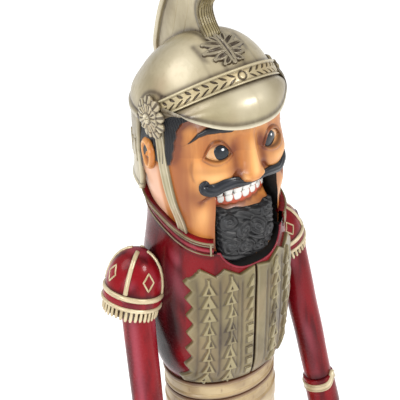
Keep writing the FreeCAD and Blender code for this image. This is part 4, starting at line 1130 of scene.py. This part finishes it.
def nape_guard():
    """The curtain behind the head, with a beaded rim and a wavy stem of leaves."""
    zed = np.linspace(337.5, 380, 130)[:, None]
    edge = np.interp(zed, [334, 345, 360, 378], [9, 7.5, 9, 8.3])
    start = GUARD.angle_at_depth(edge, zed)
    share = np.linspace(0, 1, 300)[None]
    turn = start + (2 * np.pi - 2 * start) * share
    arc = np.minimum(share, 1 - share) * (2 * np.pi - 2 * start) * 41
    low = zed - 337.5
    rim = np.maximum(bell(arc - 1.3, 0.9), bell(low - 1.4, 0.9) + 0 * arc)
    vine = 359 + 7.5 * np.sin(arc * 0.30)
    sprigs = []
    for k in range(7):
        mid, way = 5.2 + 10.47 * k, (-1) ** k
        for lean, short in ((0, 0), (3.84, 2.4), (-3.84, 2.4)):
            sprigs.append((mid, 359 + way * 5, mid + lean, 359 - way * (6.5 - short), 1.5))
    leaf = strokes(arc, zed + 0 * arc, sprigs) * smooth(3.5, 4.5, arc) * smooth(341.5, 344.5, zed)
    out = 0.75 * rim + 0.65 * leaf + 0.3 * bell(zed - vine, 0.75)
    shape = shell(GUARD.point(turn, zed + 0 * arc, out), GUARD.point(turn, zed + 0 * arc, -2.2))
    # Dark wax round the leaves and inside the rim; darker towards the top under the bowl and over the inner
    # face, as painted shade.
    recess = np.clip(0.8 * bell(leaf - 0.45, 0.25) + 0.7 * bell(arc - 2.9, 0.5) + 0.7 * bell(low - 3, 0.5)
                     + 0.35 * smooth(350, 376, zed), 0, 1)
    light = np.clip(0.75 * rim + 0.4 * smooth(0.75, 1, leaf), 0, 1)
    piece("nape_guard_scrolled", GOLD, shape, ["helmet_nape_guard"],
          recess=outer_only(recess, 0.75), light=outer_only(light, 0.0))


nape_guard()


# The comb's outline as (y, z): its front edge rises and curls forward, its back falls to the nape.
COMB_FRONT = [(-10, 413), (-9.7, 420), (-5.6, 425.6), (-3.6, 431), (-5.6, 437), (-11.0, 442.4),
              (-15.4, 447.6), (-17, 453)]
COMB_TOP = [(-17, 453), (-13.4, 455.4), (-2, 457), (11.6, 451.2), (23.2, 441.6), (32.4, 428), (39, 413),
            (42.3, 400), (41, 391)]


def line_gap(y, zed, line):
    """Distance to a line of points."""
    gap = np.full(y.shape, 1e9)
    for line_y, line_z in line:
        gap = np.minimum(gap, np.hypot(y - line_y, zed - line_z))
    return gap


def comb():
    front, top = smooth_line(COMB_FRONT, 90), smooth_line(COMB_TOP, 210)
    rim = np.concatenate([front, top[1:]])
    share = np.linspace(0, 1, len(rim))
    base_y = -9.5 + 39.5 * share ** 0.5
    base_z = dome_top(base_y) - 2.0 - dome_fall(base_y, 410)
    base = np.stack([base_y, base_z - 6 * smooth(0.75, 1, share)], -1)
    v = np.linspace(0, 1, 64)[:, None, None] ** 0.8
    grid = base + (rim - base) * v
    y, zed = grid[..., 0], grid[..., 1]
    gap_front, gap_top = line_gap(y, zed, front), line_gap(y, zed, top)
    gap = np.minimum(gap_front, gap_top)
    half = 3.9 + 0.9 * smooth(4.6, 4.0, gap_top) - 0.5 * bell(gap_top - 5.0, 0.5)
    half = (half - 0.25 * bell(np.sin((y + 40) * 0.33 + (zed - 400) * 0.12), 0.12) * smooth(6, 9, gap_top)
            * smooth(6, 9, gap_front))
    half = np.minimum(half * np.sqrt(np.clip(1 - smooth(1.6, 0, gap) ** 2 * 0.9, 0.02, 1)), 5.0)
    foot = dome_top(y) - dome_fall(y, dome_top(y))
    recess = np.clip(0.8 * bell(gap_front - 3.4, 1.2) + 0.8 * bell(gap_top - 5.1, 0.8)
                     + 0.8 * bell(zed - foot, 1.6) + 0.35 * smooth(14, 6, gap_top) * smooth(5, 6, gap_top), 0,
                     1)
    piece("comb_crest", GOLD, shell(np.stack([half, y, zed], -1), np.stack([-half, y, zed], -1)),
          ["helmet_comb"], sharp=70, recess=twice(recess), light=twice(0.55 * smooth(4.4, 2, gap_top)))


def comb_flutes():
    """The fluted band down the comb's front edge, which widens over the dome at its foot."""
    line = smooth_line([(-15.5, 410.5)] + COMB_FRONT[:-1] + [(-16.6, 451.5)], 130)
    along = np.gradient(line, axis=0)
    along /= np.linalg.norm(along, axis=1)[:, None]
    ahead = np.stack([-along[:, 1], along[:, 0]], -1)
    across, share = np.linspace(-1, 1, 90)[None], np.linspace(0, 1, 130)[:, None]
    wide = 4.8 + 3.0 * smooth(0.3, 0.0, share) - 0.6 * smooth(0.8, 1.0, share)
    flute = np.abs(np.sin(across * math.pi * 3.5))
    out = 0.4 + 0.8 * flute ** 0.6 - 1.3 * across ** 2 + 0.9 * bell(share - 0.03, 0.03)
    place = line[:, None] + ahead[:, None] * out[..., None]
    strip = np.stack([wide * across, place[..., 0], place[..., 1]], -1)
    back = line - 2.6 * ahead
    under = np.stack(np.broadcast_arrays(wide * across, back[:, :1], back[:, 1:]), -1)
    points, faces = shell(strip, under)
    recess = np.clip(0.9 * smooth(0.4, 0.05, flute) + 0.9 * smooth(0.09, 0.0, share)
                     + 0.5 * smooth(0.8, 1, np.abs(across)), 0, 1)
    piece("comb_front_flutes", BREAST_GOLD, (points, reversed_faces(faces)),
          recess=twice(recess), light=twice(0.35 * smooth(0.75, 1, flute) + 0 * share))


comb()
comb_flutes()


# ---------------------------------------------------------------- collar and torso

NECK_RADIUS = 35.5
COLLAR_LOW, COLLAR_LIP, COLLAR_TOP = -1.5, 7.0, 8.3     # heights above the neckline


def above_neckline(turn, height, out):
    """Points round the neck at a height above the tilted neckline."""
    zed = np.full(np.broadcast(turn, height).shape, 318.0)     # a first guess
    for _ in range(4):
        zed = neckline(HEAD.point(turn, zed, out)[..., 1]) + height
    return HEAD.point(turn, zed, out)


def collar():
    """A standing collar, tilted with the neck and open at the mouth slot, with thin braid."""
    near, edge = (math.asin(reach / NECK_RADIUS) for reach in (SLOT_HALF + 0.6, SLOT_HALF + 2.4))
    turn = np.linspace(edge, 2 * math.pi - near, 300)
    height = np.linspace(COLLAR_LOW, COLLAR_TOP, 44)[:, None]
    out = (3.1 - 0.5 * bell(height - 1.9, 0.35) - 0.5 * bell(height - 5.2, 0.4)
           + 0.25 * bell(height - 3.6, 1.0) + 0 * turn)
    wall = above_neckline(turn[None], height, out)
    lip = above_neckline(turn[None], np.array([[COLLAR_TOP], [COLLAR_LIP]]), np.array([[-0.6], [-0.8]])
                         + 0 * turn)
    grid = np.concatenate([wall, lip])
    h = np.concatenate([height[:, 0], [COLLAR_TOP, COLLAR_LIP]])[:, None] + 0 * turn
    heap = Heap()
    # Painted shade in the two grooves and along the lower edge, and a painted highlight along the rounded
    # middle.
    recess = np.clip(0.9 * bell(h - 1.9, 0.5) + 0.8 * bell(h - 5.3, 0.6) + 0.5 * smooth(0.5, -1, h), 0, 1)
    heap.add(grid, grid_faces(*grid.shape[:2]), recess=recess.ravel(),
             light=(0.6 * bell(h - 3.6, 0.9)).ravel())
    for column in (0, -1):
        end = grid[:, column]
        heap.add(np.stack([end, end * [1, 0, 1] + [0, -30.0, 0]]), grid_faces(2, len(end)))
    heap.make("collar_wrap", RED, ["collar_left", "collar_right"])
    gold = Heap()
    for h, size in ((7.9, 0.7), (6.4, 0.45), (0.9, 0.5)):
        gold.add(*tube(above_neckline(turn, h, 3.25), size, 12, 0.8), light=0.0)
    for side in (edge + 0.035, 2 * math.pi - near - 0.035):
        upright = above_neckline(side, np.linspace(0.4, 8.0, 20), 3.3)
        gold.add(*tube(upright, 0.6, 12, 0.8, [0, -1, 0]), light=0.1)
    gold.make("collar_braid", COLLAR_GOLD)


collar()


def torso():
    """The coat, cut off along the neckline and open where the jaw runs."""
    z = np.concatenate([np.linspace(222, SLOT_LOW, 120)[:-1], np.linspace(SLOT_LOW, 334, 90)])
    angle = slotted_columns(TORSO, z, TORSO_SLOT_COLS, 150, 90)
    zed = z[:, None] + 0 * angle
    for _ in range(3):
        limit = neckline(TORSO.point(angle, zed)[..., 1]) + 0.8
        zed = np.minimum(zed, limit)
    points = TORSO.point(angle, zed)
    x, y = points[..., 0], points[..., 1]
    out = -0.35 * smooth(0.2, 1, ripple(x, y, zed, 26.0, 1.2)) + 0.25 * ripple(x, y, zed, 13.0, 4.0)
    out = out * smooth(222, 232, zed) * smooth(14, 19, np.abs(x) + 30 * (y > 0) + 30 * (zed < 290))
    points = TORSO.point(angle, zed, out)
    x, y = points[..., 0], points[..., 1]
    rows, cols = angle.shape
    faces = grid_faces(rows, cols, wrap=True)
    row, column = (faces // cols).min(1), faces % cols
    hole = (z[row] >= SLOT_LOW - 0.01) & (column.max(1) < TORSO_SLOT_COLS)
    flat = np.ptp(points.reshape(-1, 3)[faces][:, :, 2], axis=1) < 1e-4
    # Painted shade along the hem, under the neckline and low on the sides under the arms, with darker patches
    # at random on the sides.
    recess = np.clip(0.75 * smooth(4.5, 0.5, zed - 222) + 0.75 * smooth(3.2, 0.3, limit - zed)
                     + 0.55 * smooth(0.1, 0.9, ripple(x, y, zed, 17.0, 2.5)) * smooth(31, 38, np.abs(x))
                     + 0.75 * smooth(35, 41, np.abs(x)) * smooth(318, 296, zed), 0, 1)
    # Painted highlights: streaks on the upper sides and a broken band across the upper chest.
    light = np.clip(0.9 * smooth(0.0, 0.9, ripple(x, y, zed, 15.0, 0.4)) * smooth(26, 33, np.abs(x))
                    * smooth(332, 300, zed)
                    + 0.8 * bell(zed - 303, 6) * smooth(0.2, 0.7, ripple(x, y, zed, 11.0, 3.1)), 0, 1)
    build("torso", points, faces[~hole & ~flat], RED, ["torso_block"], dict(recess=recess, light=light))
    keep = z >= SLOT_LOW - 0.01
    left, right = points[keep, 0], points[keep, TORSO_SLOT_COLS - 1]
    low = points[np.argmax(keep), :TORSO_SLOT_COLS]
    slot_lining("torso_slot_lining", left, right, low, 10)
    rim = np.concatenate([left[::-1], low[1:-1], right])
    rim = rim[rim[:, 2] < neckline(rim[:, 1]) + 1.5]
    # A painted highlight along the slot's rim.
    piece("slot_lip", RED, tube(rim + [0, -0.1, 0], 0.6, 8, 0.8, [0, -1, 0]), light=0.5)


torso()


PLATE_LOW, SEAM = 224.0, 0.35
PLATE_WIDE, TOOTH_STEP = 36, 10.4
TREE_STEP, TREES = 8.3, 8
FLUTES = ((8.4, 0.7, 0.45), (20.6, 0.7, 0.45), (11.2, 0.5, 0.3), (31.0, 0.6, 0.3))  # place, width and depth


def triangle(x, z, centre, low, half, height):
    """Depth inside an upright triangle, negative outside."""
    up = z - low
    side = (half * (1 - up / height) - np.abs(x - centre)) * height / math.hypot(height, half)
    return np.minimum(np.minimum(up, height - up), side)


def crest(x):
    """Height of the plate's top edge, which runs in shallow points."""
    return np.interp(x, [0, 9.8, 17.8, 22.4, 28.8, 33.5, 38], [296.8, 294, 299.2, 295.4, 300.3, 294.4, 294.4])


def zigzag(z):
    """How far the plate's outer edge steps in, from 0 to 1, in teeth with rounded tips."""
    tooth_share = np.abs(((z - PLATE_LOW) / TOOTH_STEP) % 1.0 - 0.5)
    return smooth(0, 1, tooth_share * 2) * 0.5 + tooth_share


def breastplate(sign, name):
    """A fluted plate with two columns of raised triangles, and buttons by the seam on the figure's right."""
    u, v = np.meshgrid(np.linspace(0, 1, 190), np.linspace(0, 1, 420))
    x = SEAM + PLATE_WIDE * u
    for _ in range(4):
        z = PLATE_LOW + (crest(x) - PLATE_LOW) * v
        x = SEAM + (35.9 - 2.5 * zigzag(z) - 0.7 * smooth(290, 300, z) - SEAM) * u
    flute = sum(deep * bell(x - at, wide) for at, wide, deep in FLUTES)
    flute = flute * smooth(PLATE_LOW + 3, PLATE_LOW + 8, z) * smooth(2, 7, crest(x) - z)
    tree, inner = np.full(x.shape, -9.0), np.full(x.shape, -9.0)
    for column, start in ((15.0, 226.5), (26.2, 226.0)):
        for k in range(TREES):
            low, odd = start + TREE_STEP * k, math.sin(5.3 * k + column)
            wide, middle = 3.2 + 0.5 * odd, column + 0.45 * math.sin(3 * k + column)
            tree = np.maximum(tree, triangle(x, z, middle, low, wide, TREE_STEP * (0.96 + 0.12 * odd)))
            hollow = triangle(x, z, middle + 0.5 * odd, low + 1.1, wide * 0.36, TREE_STEP * 0.6)
            inner = np.maximum(inner, hollow - 0.4 * (odd > 0.55))
        stem = np.minimum(0.6 - np.abs(x - column),
                          np.minimum(z - start + 2, start + TREE_STEP * TREES + 2 - z))
        tree = np.maximum(tree, stem)
    for k in range(9 if sign < 0 else 0):
        low = 227.5 + 7.1 * k
        if k < 5:
            block = np.minimum(1.9 - np.abs(x - 3.6), 1.9 - np.abs(z - low - 2.2))
        else:
            block = np.minimum(triangle(x, z, 2.2, low, 3.6, 6.6), x - 2.0)
        tree = np.maximum(tree, block)
    raised = smooth(-0.15, 0.4, tree)
    dent = smooth(-0.1, 0.4, inner)
    edge = np.minimum(np.minimum(x - SEAM, z - PLATE_LOW), (1 - v) * (crest(x) - PLATE_LOW))
    edge = np.minimum(edge, (1 - u) * PLATE_WIDE)
    out = 1.5 - flute + 1.3 * raised - 0.7 * dent + 0.3 * bell(edge - 1.0, 0.7)
    out = out - 0.9 * smooth(0.5, 0, edge)
    out[[0, -1], :] = -0.6
    out[:, [0, -1]] = -0.6
    shape = shell(TORSO.front(x, z, out), TORSO.front(x, z, np.full(x.shape, -1.2)))
    recess = np.clip(0.62 * bell(tree + 0.35, 0.42) + 0.75 * dent + 0.5 * flute / 0.45
                     + 0.45 * smooth(0.5, 0, edge) + 0.5 * smooth(3, 0.4, z - PLATE_LOW)
                     + 0.45 * smooth(0.1, 0.9, ripple(x, z * 0, z, 12.0, 1.7)) + 0.35 * bell(x - 20.6, 2.6)
                     + 0.3 * bell(x - 31.5, 1.8) + 0.3 * bell(x - 9.5, 2) + 0.9 * smooth(0.7, 0.1, x - SEAM),
                     0, 1)
    light = np.clip(0.65 * raised * (1 - dent) + 0.2 * bell(edge - 1.1, 0.6), 0, 1)
    piece("plate_trees_" + name, BREAST_GOLD, on_side(sign, shape), ["breastplate_" + name],
          recess=twice(recess), light=twice(light))


for sign, name in SIDES:
    breastplate(sign, name)


# ---------------------------------------------------------------- sash, waist and hips

def wrapped(stack, heights, outs, name, material, node, recess, light=None):
    """A closed band round the body; recess and light are rules of the turn and the height."""
    z, turn = np.asarray(heights, float)[:, None], turns(260)[None]
    turn, zed, out = np.broadcast_arrays(turn, z, np.asarray(outs, float)[:, None])
    marks = dict(recess=capped(recess(turn, zed)))
    if light:
        marks["light"] = capped(light(turn, zed))
    return piece(name, material, closed_grid(stack.point(turn, zed, out)), [node], sharp=50, **marks)


def sash(low, high, name, node):
    """One of the two flat bands of the sash, with a bead along each edge and fine ticks between."""
    z = np.linspace(low, high, 44)
    share = (z - low) / (high - low)
    out = (2.5 + 0.5 * bell(share - 0.13, 0.09) + 0.5 * bell(share - 0.87, 0.09)
           - 0.4 * bell(share - 0.25, 0.05) - 0.4 * bell(share - 0.75, 0.05))
    out[0], out[-1] = 0.4, 0.4

    def recess(turn, zed):
        level = (zed - low) / (high - low)
        ticks = bell(((turn * 31 / math.pi) % 2.0) - 1.0, 0.05)
        # Painted shade along both edges, painted ticks across the middle and darker patches at random.
        return (0.9 * bell(level, 0.13) + 1.0 * bell(level - 1, 0.16) + 0.6 * ticks * bell(level - 0.5, 0.12)
                + 0.3 * smooth(0.2, 0.8, ripple(turn * 30, zed, zed, 9.0)))

    wrapped(WAIST, [low, *z, high], [-4, *out, -4], name, SASH_CREAM, node, recess)


sash(196.2, 208.8, "sash_band_lower", "sash_lower")
sash(209.2, 221.8, "sash_band_upper", "sash_upper")
# The core shows only between the sash bands and is painted dark all over, as shade.
wrapped(WAIST, [196, 209, 222], [-0.3, -0.3, -0.3], "waist_core", CREAM, "waist_block",
        lambda turn, zed: 0.9 + 0 * zed)
# Painted shade under the sash and towards the bottom, a dark line down the front and back, and a painted
# highlight band round the middle.
wrapped(HIPS, [170, *np.linspace(170, 196, 50), 196], [-6, *np.zeros(50), -4], "hips", CREAM, "hip_block",
        lambda turn, zed: 0.8 * smooth(3, 0.3, 196 - zed) + 0.7 * bell(np.sin(turn), 0.04)
        + 0.6 * smooth(176, 171, zed), lambda turn, zed: 0.3 * bell(zed - 188, 4))


# ---------------------------------------------------------------- arms and shoulders

def turned_frame(splay, forward):
    """Carries points of the left arm's own frame to the figure; the arm hangs along its -Z."""
    a, b = math.radians(splay), math.radians(forward)
    about_y = np.array([[math.cos(a), 0, math.sin(a)], [0, 1, 0], [-math.sin(a), 0, math.cos(a)]])
    about_x = np.array([[1, 0, 0], [0, math.cos(b), -math.sin(b)], [0, math.sin(b), math.cos(b)]])
    return about_y @ about_x


SHOULDER = np.array([52.5, 2.5, 282.0])
ARM, CAP = turned_frame(-4.8, -10), turned_frame(-17, 0)


# The caps sit a little unevenly: how far each is off the even place, by side.
CAP_SHIFT = {"left": (-6.0, 0.0, -3.0), "right": (-1.0, 0.0, 1.0)}
CAP_SCALE = {"left": (0.87, 0.87, 0.88), "right": (0.93, 0.93, 1.0)}


def limb(frame_axes, points):
    return np.asarray(points).reshape(-1, 3) @ frame_axes.T + SHOULDER


def both_sides(parts, name, material, node, sharp=None):
    """Makes a left piece and its mirror image."""
    for sign, side in ((1, "left"), (-1, "right")):
        heap = Heap()
        for *shape, marks in parts():
            points, faces = on_side(sign, shape)
            if name.startswith(("shoulder", "fringe")):
                middle = SHOULDER * [sign, 1, 1]
                points = middle + (points - middle) * CAP_SCALE[side] + CAP_SHIFT[side]
            heap.add(points, faces, **marks)
        heap.make(name + "_" + side, material, [node + "_" + side] if node else [], sharp)


def sleeve_parts():
    zed, turn = np.broadcast_arrays(np.concatenate([[8], np.linspace(6, -106, 110)])[:, None], turns(72))
    radius = np.interp(zed, [-106, 0, 6, 8], [8.4, 9.3, 8.4, 5.0])
    fold = ripple(radius * np.sin(turn), radius * np.cos(turn), zed, 11.0, 0.7)
    points, faces = closed_grid(around(radius + 0.18 * fold, turn, zed))
    streak = ripple(turn * 9, 0 * zed, zed * 0.25, 9.0, 2.0)
    # Painted shade where the sleeve meets the cuff and the shoulder cap, with darker streaks at random.
    recess = 0.7 * smooth(-100, -106, zed) + 0.6 * smooth(-10, 4, zed) + 0.5 * smooth(0.35, 0.9, streak)
    # Two painted highlight strips down the sleeve.
    light = 0.9 * bell(turn - 5.6, 0.35) * smooth(-0.5, 0.5, fold) + 0.7 * bell(turn - 0.9, 0.3)
    yield limb(ARM, points), faces, dict(recess=capped(recess), light=capped(light))


def cuff_parts():
    z = np.concatenate([[-106.0], np.linspace(-106.2, -128, 40), [-128.2]])[:, None]
    radius = np.concatenate([[[8.0]], 9.5 + 0.3 * smooth(-106, -128, z[1:-1]), [[8.0]]])
    points, faces = closed_grid(around(radius, turns(72), z))
    # Painted shade at the lower end, where the hand comes out.
    yield limb(ARM, points), faces, dict(recess=capped(0.6 * smooth(-125, -128, z + 0 * turns(72))))


def cuff_braid():
    """A strip round the top of the cuff that rises to a point on the outer side."""
    turn = turns(200)
    peak = 5.0 * bell(((turn - math.radians(35) + math.pi) % (2 * math.pi)) - math.pi, 0.45)
    share = np.linspace(0, 1, 14)[:, None]
    radius = 10.15 + 0.35 * bell(np.abs(share - 0.5) - 0.38, 0.1) + 0 * turn
    radius[[0, -1]] = 9.0
    ring = around(radius, turn, -111.5 + peak + 5.2 * (share - 0.5))
    grid = np.concatenate([ring, ring[[-1, 0]] * [0.9, 0.9, 1]])
    mark = np.concatenate([0.5 * bell(np.abs(share - 0.5) - 0.24, 0.06) + 0 * turn, np.zeros((2, 200))])
    yield limb(ARM, grid), ring_faces(*grid.shape[:2]), dict(recess=mark.ravel(), light=0.3)


def hand_parts():
    """A closed mitten with four grooved fingers and a thumb laid across the front."""
    zed, turn = np.broadcast_arrays(np.linspace(-126, -157.6, 60)[:, None], turns(96))
    radius = np.interp((zed + 126) / -31.6, [0, 0.12, 0.4, 0.75, 0.92, 1], [6.6, 6.9, 8.3, 8.0, 5.6, 1.2])
    finger = bell(((zed + 134) / -5.4) % 1.0 - 0.5, 0.13) * smooth(-133, -136, zed)
    finger = finger * smooth(0.1, -0.3, np.cos(turn - 0.5))
    points, faces = closed_grid(around(radius - 0.9 * finger, turn, zed) * [1, 1.02, 1])
    # Painted brown shade in the finger grooves and under the cuff.
    yield limb(ARM, points), faces, dict(burn=capped(0.9 * finger + 0.6 * smooth(-129, -126, zed)))
    knots, steps = np.linspace(0, 1, 4), np.linspace(0, 1, 24)
    thumb = ((-4.0, -1.0, 3.0, 6.0), (-6.6, -7.9, -7.6, -5.6), (-133, -139, -144, -147))
    curve = np.stack([spline(knots, row, steps) for row in thumb], -1)
    points, faces = tube(curve, np.interp(steps, [0, 0.3, 0.8, 1], [1.6, 2.3, 2.0, 0.9]), 16)
    yield limb(ARM, points), faces, dict(burn=0.15)


# Radius and height above the cap's rim.
CAP_PROFILE = [(0.2, 24.2), (3.4, 23.9), (7.0, 22.4), (10.4, 19.8), (13.2, 16.2), (15.3, 11.6), (16.5, 6.6),
               (17.0, 1.3)]


def cap_radius(height):
    table = np.array(CAP_PROFILE)[::-1]
    return np.interp(height, table[:, 1], table[:, 0])


def cap_parts():
    profile = np.concatenate([smooth_line(CAP_PROFILE, 60), [(16.4, 0.6), (14.6, 0.4)]])
    points, faces = closed_grid(lathe(profile, 120)[::-1])
    zed = points[:, 2]
    wave = ripple(points[:, 0], points[:, 1], zed, 8.0, 1.0)
    # Painted shade towards the rim and in random patches, and painted highlights in random patches higher up.
    yield limb(CAP, points), faces, dict(
        recess=np.clip(0.8 * smooth(4, 1.2, zed) + 0.5 * smooth(0.2, 0.9, wave), 0, 1),
        light=0.7 * smooth(0.0, -0.8, wave) * smooth(3, 8, zed))


def cap_point(turn, height, out):
    return around(cap_radius(height) + out, turn, height)


def cap_braid():
    """Four ribs that meet at the crown, with a lozenge between each pair."""
    height = np.linspace(23.6, 2.0, 50)
    corners = np.array([(0, 5.4), (3.4, 10.2), (0, 15.0), (-3.4, 10.2)])
    sides = [a + (b - a) * np.linspace(0, 1, 8)[:-1, None] for a, b in zip(corners, np.roll(corners, -1, 0))]
    lozenge = np.concatenate(sides + [sides[0][:2]])
    for k in range(4):
        path = cap_point(math.radians(50 + 90 * k), height, 0.35)
        points, faces = tube(path, 1.35, 12, 0.6, path - [0, 0, 4])
        yield limb(CAP, points), faces, dict(light=0.35)
        turn = math.radians(5 + 90 * k) + lozenge[:, 0] / cap_radius(lozenge[:, 1])
        path = cap_point(turn, lozenge[:, 1], 0.15)
        points, faces = tube(path, 0.55, 8, 0.8, path - [0, 0, 4])
        yield limb(CAP, points), faces, dict(light=0.1)


def bead_ring(radius, low, high, bulge, light):
    """A rounded ring under the cap."""
    middle, quarter = (low + high) / 2, (high - low) * 0.25
    profile = [(radius - 3, high), (radius, high), (radius + bulge, middle + quarter),
               (radius + bulge, middle - quarter), (radius, low), (radius - 3, low)]
    return limb(CAP, lathe(profile, 120)), ring_faces(6, 120), dict(light=light)


def fringe_parts():
    """Separate hanging cords over a backing ring painted dark as the shade between them."""
    backing = lathe([(15.3, -7.3), (15.3, -12.8), (12, -12.8), (12, -7.3)], 90)
    yield limb(CAP, backing), grid_faces(4, 90, wrap=True).tolist(), dict(recess=1.0)
    for k in range(34):
        turn = 2 * math.pi * k / 34
        path = around(16.0, turn, np.linspace(-7.2, -13.8 - 0.3 * math.sin(5 * k), 8))
        thick = [0.85, 0.95, 0.9, 0.95, 1.0, 1.0, 0.95, 0.6]
        points, faces = tube(path, thick, 10, 0.8, [math.sin(turn), -math.cos(turn), 0])
        yield limb(CAP, points), faces, dict(light=0.2)


both_sides(sleeve_parts, "sleeve_lacquered", RED, "sleeve")
both_sides(cuff_parts, "cuff_turned", RED, "cuff")
both_sides(cuff_braid, "cuff_strip", CREAM_GOLD, None)
both_sides(hand_parts, "hand_closed", SKIN, "hand")
both_sides(cap_parts, "shoulder_cap_lacquered", RED, "shoulder_cap")
both_sides(cap_braid, "shoulder_ribs", CREAM_GOLD, None)
both_sides(lambda: [bead_ring(17.7, -1.7, 1.2, 0.5, 0.35), bead_ring(17.7, -7.5, -5.3, 0.5, 0.35)],
           "shoulder_rims", CREAM_GOLD, "shoulder_trim")
both_sides(lambda: [bead_ring(17.3, -5.5, -1.5, 0.2, 0.15)], "shoulder_band", RED, None)
both_sides(fringe_parts, "fringe_cords", CREAM_GOLD, "shoulder_fringe")


# ---------------------------------------------------------------- legs, base and fixings

for side in ("right", "left"):
    cad_copy("trouser_leg_" + side, "trouser_" + side, CREAM, 0.8)
    cad_copy("boot_" + side, "boot_polished_" + side, BOOT, 0.9)
cad_copy("base_plinth", "plinth", BASE, 1.0)
for node in ("leg_dowels", "neck_dowels", "arm_dowels"):
    cad_copy(node, node + "_turned", BARE_WOOD, 0)
cad_copy("jaw_pin", "jaw_pin_steel", STEEL, 0.2)


def leg_trim():
    """A stripe down each trouser leg and two bands round each boot top."""
    gold = Heap()
    for sign in (-1, 1):
        z = np.linspace(114, 168, 40)
        radius = np.interp(z, [112, 176], [14.5, 16.5]) + 0.15
        path = np.stack([sign * (18 + radius), 0 * z, z], -1)
        gold.add(*tube(path, 1.5, 12, 0.5, [sign, 0, 0]), light=0.2)
        for height in (111.0, 104.6):
            ring = around(17.1, np.linspace(0, 2 * np.pi, 73), height) + [sign * 18, 0, 0]
            gold.add(*tube(ring, 0.8, 10), light=0.3)
    gold.make("leg_braid", CREAM_GOLD)


def plinth_line():
    """A thin line round the base, a little inside its edge."""
    corner, half_x, half_y, height = 6.5, 62.0, 54.0, 12.6
    reach, path = corner - 0.2, []
    for way_x, way_y, start in ((1, 1, 0), (-1, 1, 90), (-1, -1, 180), (1, -1, 270)):
        for angle in np.radians(start + np.linspace(0, 90, 10)):
            path.append((way_x * (half_x - corner) + reach * math.cos(angle),
                         way_y * (half_y - corner) + reach * math.sin(angle), height))
    piece("plinth_line", CREAM_GOLD, tube(np.array(path + path[:2]), 0.6, 8), light=0.2)


leg_trim()
plinth_line()


# ---------------------------------------------------------------- floor, light and camera

def area_light(name, place, target, size, power, colour=(1, 1, 1)):
    lamp = bpy.data.lights.new(name, "AREA")
    lamp.shape, lamp.size, lamp.energy, lamp.color = "DISK", size, power, colour
    thing = bpy.data.objects.new(name, lamp)
    bpy.context.scene.collection.objects.link(thing)
    thing.location = place
    thing.rotation_euler = (Vector(target) - Vector(place)).to_track_quat("-Z", "Y").to_euler()
    return thing


floor_mesh = bpy.data.meshes.new("floor")
reach = 30.0
floor_mesh.from_pydata([(-reach, -reach, 0), (reach, -reach, 0), (reach, reach, 0), (-reach, reach, 0)], [],
                       [(0, 1, 2, 3)])
floor = bpy.data.objects.new("floor", floor_mesh)
bpy.context.scene.collection.objects.link(floor)
paper = Paint("pale_floor", Roughness=0.9, Emission_Color=(1, 1, 1, 1), Emission_Strength=0.32)
floor_mesh.materials.append(paper.finish(paper.mix(paper.noise(0.5), (0.93, 0.93, 0.93), (0.95, 0.95, 0.95))))
lights = [area_light("key", (0.55, -1.35, 1.3), (0, 0, 0.33), 0.5, 17, (1, 0.98, 0.95)),
          area_light("fill", (-1.5, -0.7, 0.75), (0, 0, 0.3), 0.55, 10, (0.95, 0.98, 1)),
          area_light("top", (-0.85, 0.25, 1.35), (0, 0, 0.37), 0.9, 8.5)]

world = bpy.data.worlds.new("studio")
bpy.context.scene.world = world
world.use_nodes = True
world.node_tree.nodes["Background"].inputs["Color"].default_value = (1, 1, 1, 1)
world.node_tree.nodes["Background"].inputs["Strength"].default_value = 0.6

# The camera looks at the head and chest from above and from the figure's right.
AZIMUTH, ELEVATION, ROLL = (math.radians(a) for a in (-33.39, 30.43, 3.63))
LENS, SENSOR = 108.0, 36.0
CAMERA_PLACE = Vector((-0.3187, -0.4713, 0.6540))
across = Vector((math.cos(AZIMUTH), math.sin(AZIMUTH), 0))
upward = Vector((-math.sin(AZIMUTH) * math.sin(ELEVATION), math.cos(AZIMUTH) * math.sin(ELEVATION),
                 math.cos(ELEVATION)))
back = Vector((math.sin(AZIMUTH) * math.cos(ELEVATION), -math.cos(AZIMUTH) * math.cos(ELEVATION),
               math.sin(ELEVATION)))
axes = Matrix((across * math.cos(ROLL) - upward * math.sin(ROLL), across * math.sin(ROLL)
               + upward * math.cos(ROLL), back)).transposed()
lens = bpy.data.cameras.new("camera")
lens.lens, lens.sensor_width = LENS, SENSOR
lens.clip_start, lens.clip_end = 0.02, 100
camera = bpy.data.objects.new("camera", lens)
bpy.context.scene.collection.objects.link(camera)
camera.matrix_world = Matrix.Translation(CAMERA_PLACE) @ axes.to_4x4()
bpy.context.scene.camera = camera
bpy.context.scene.view_settings.view_transform = "Standard"
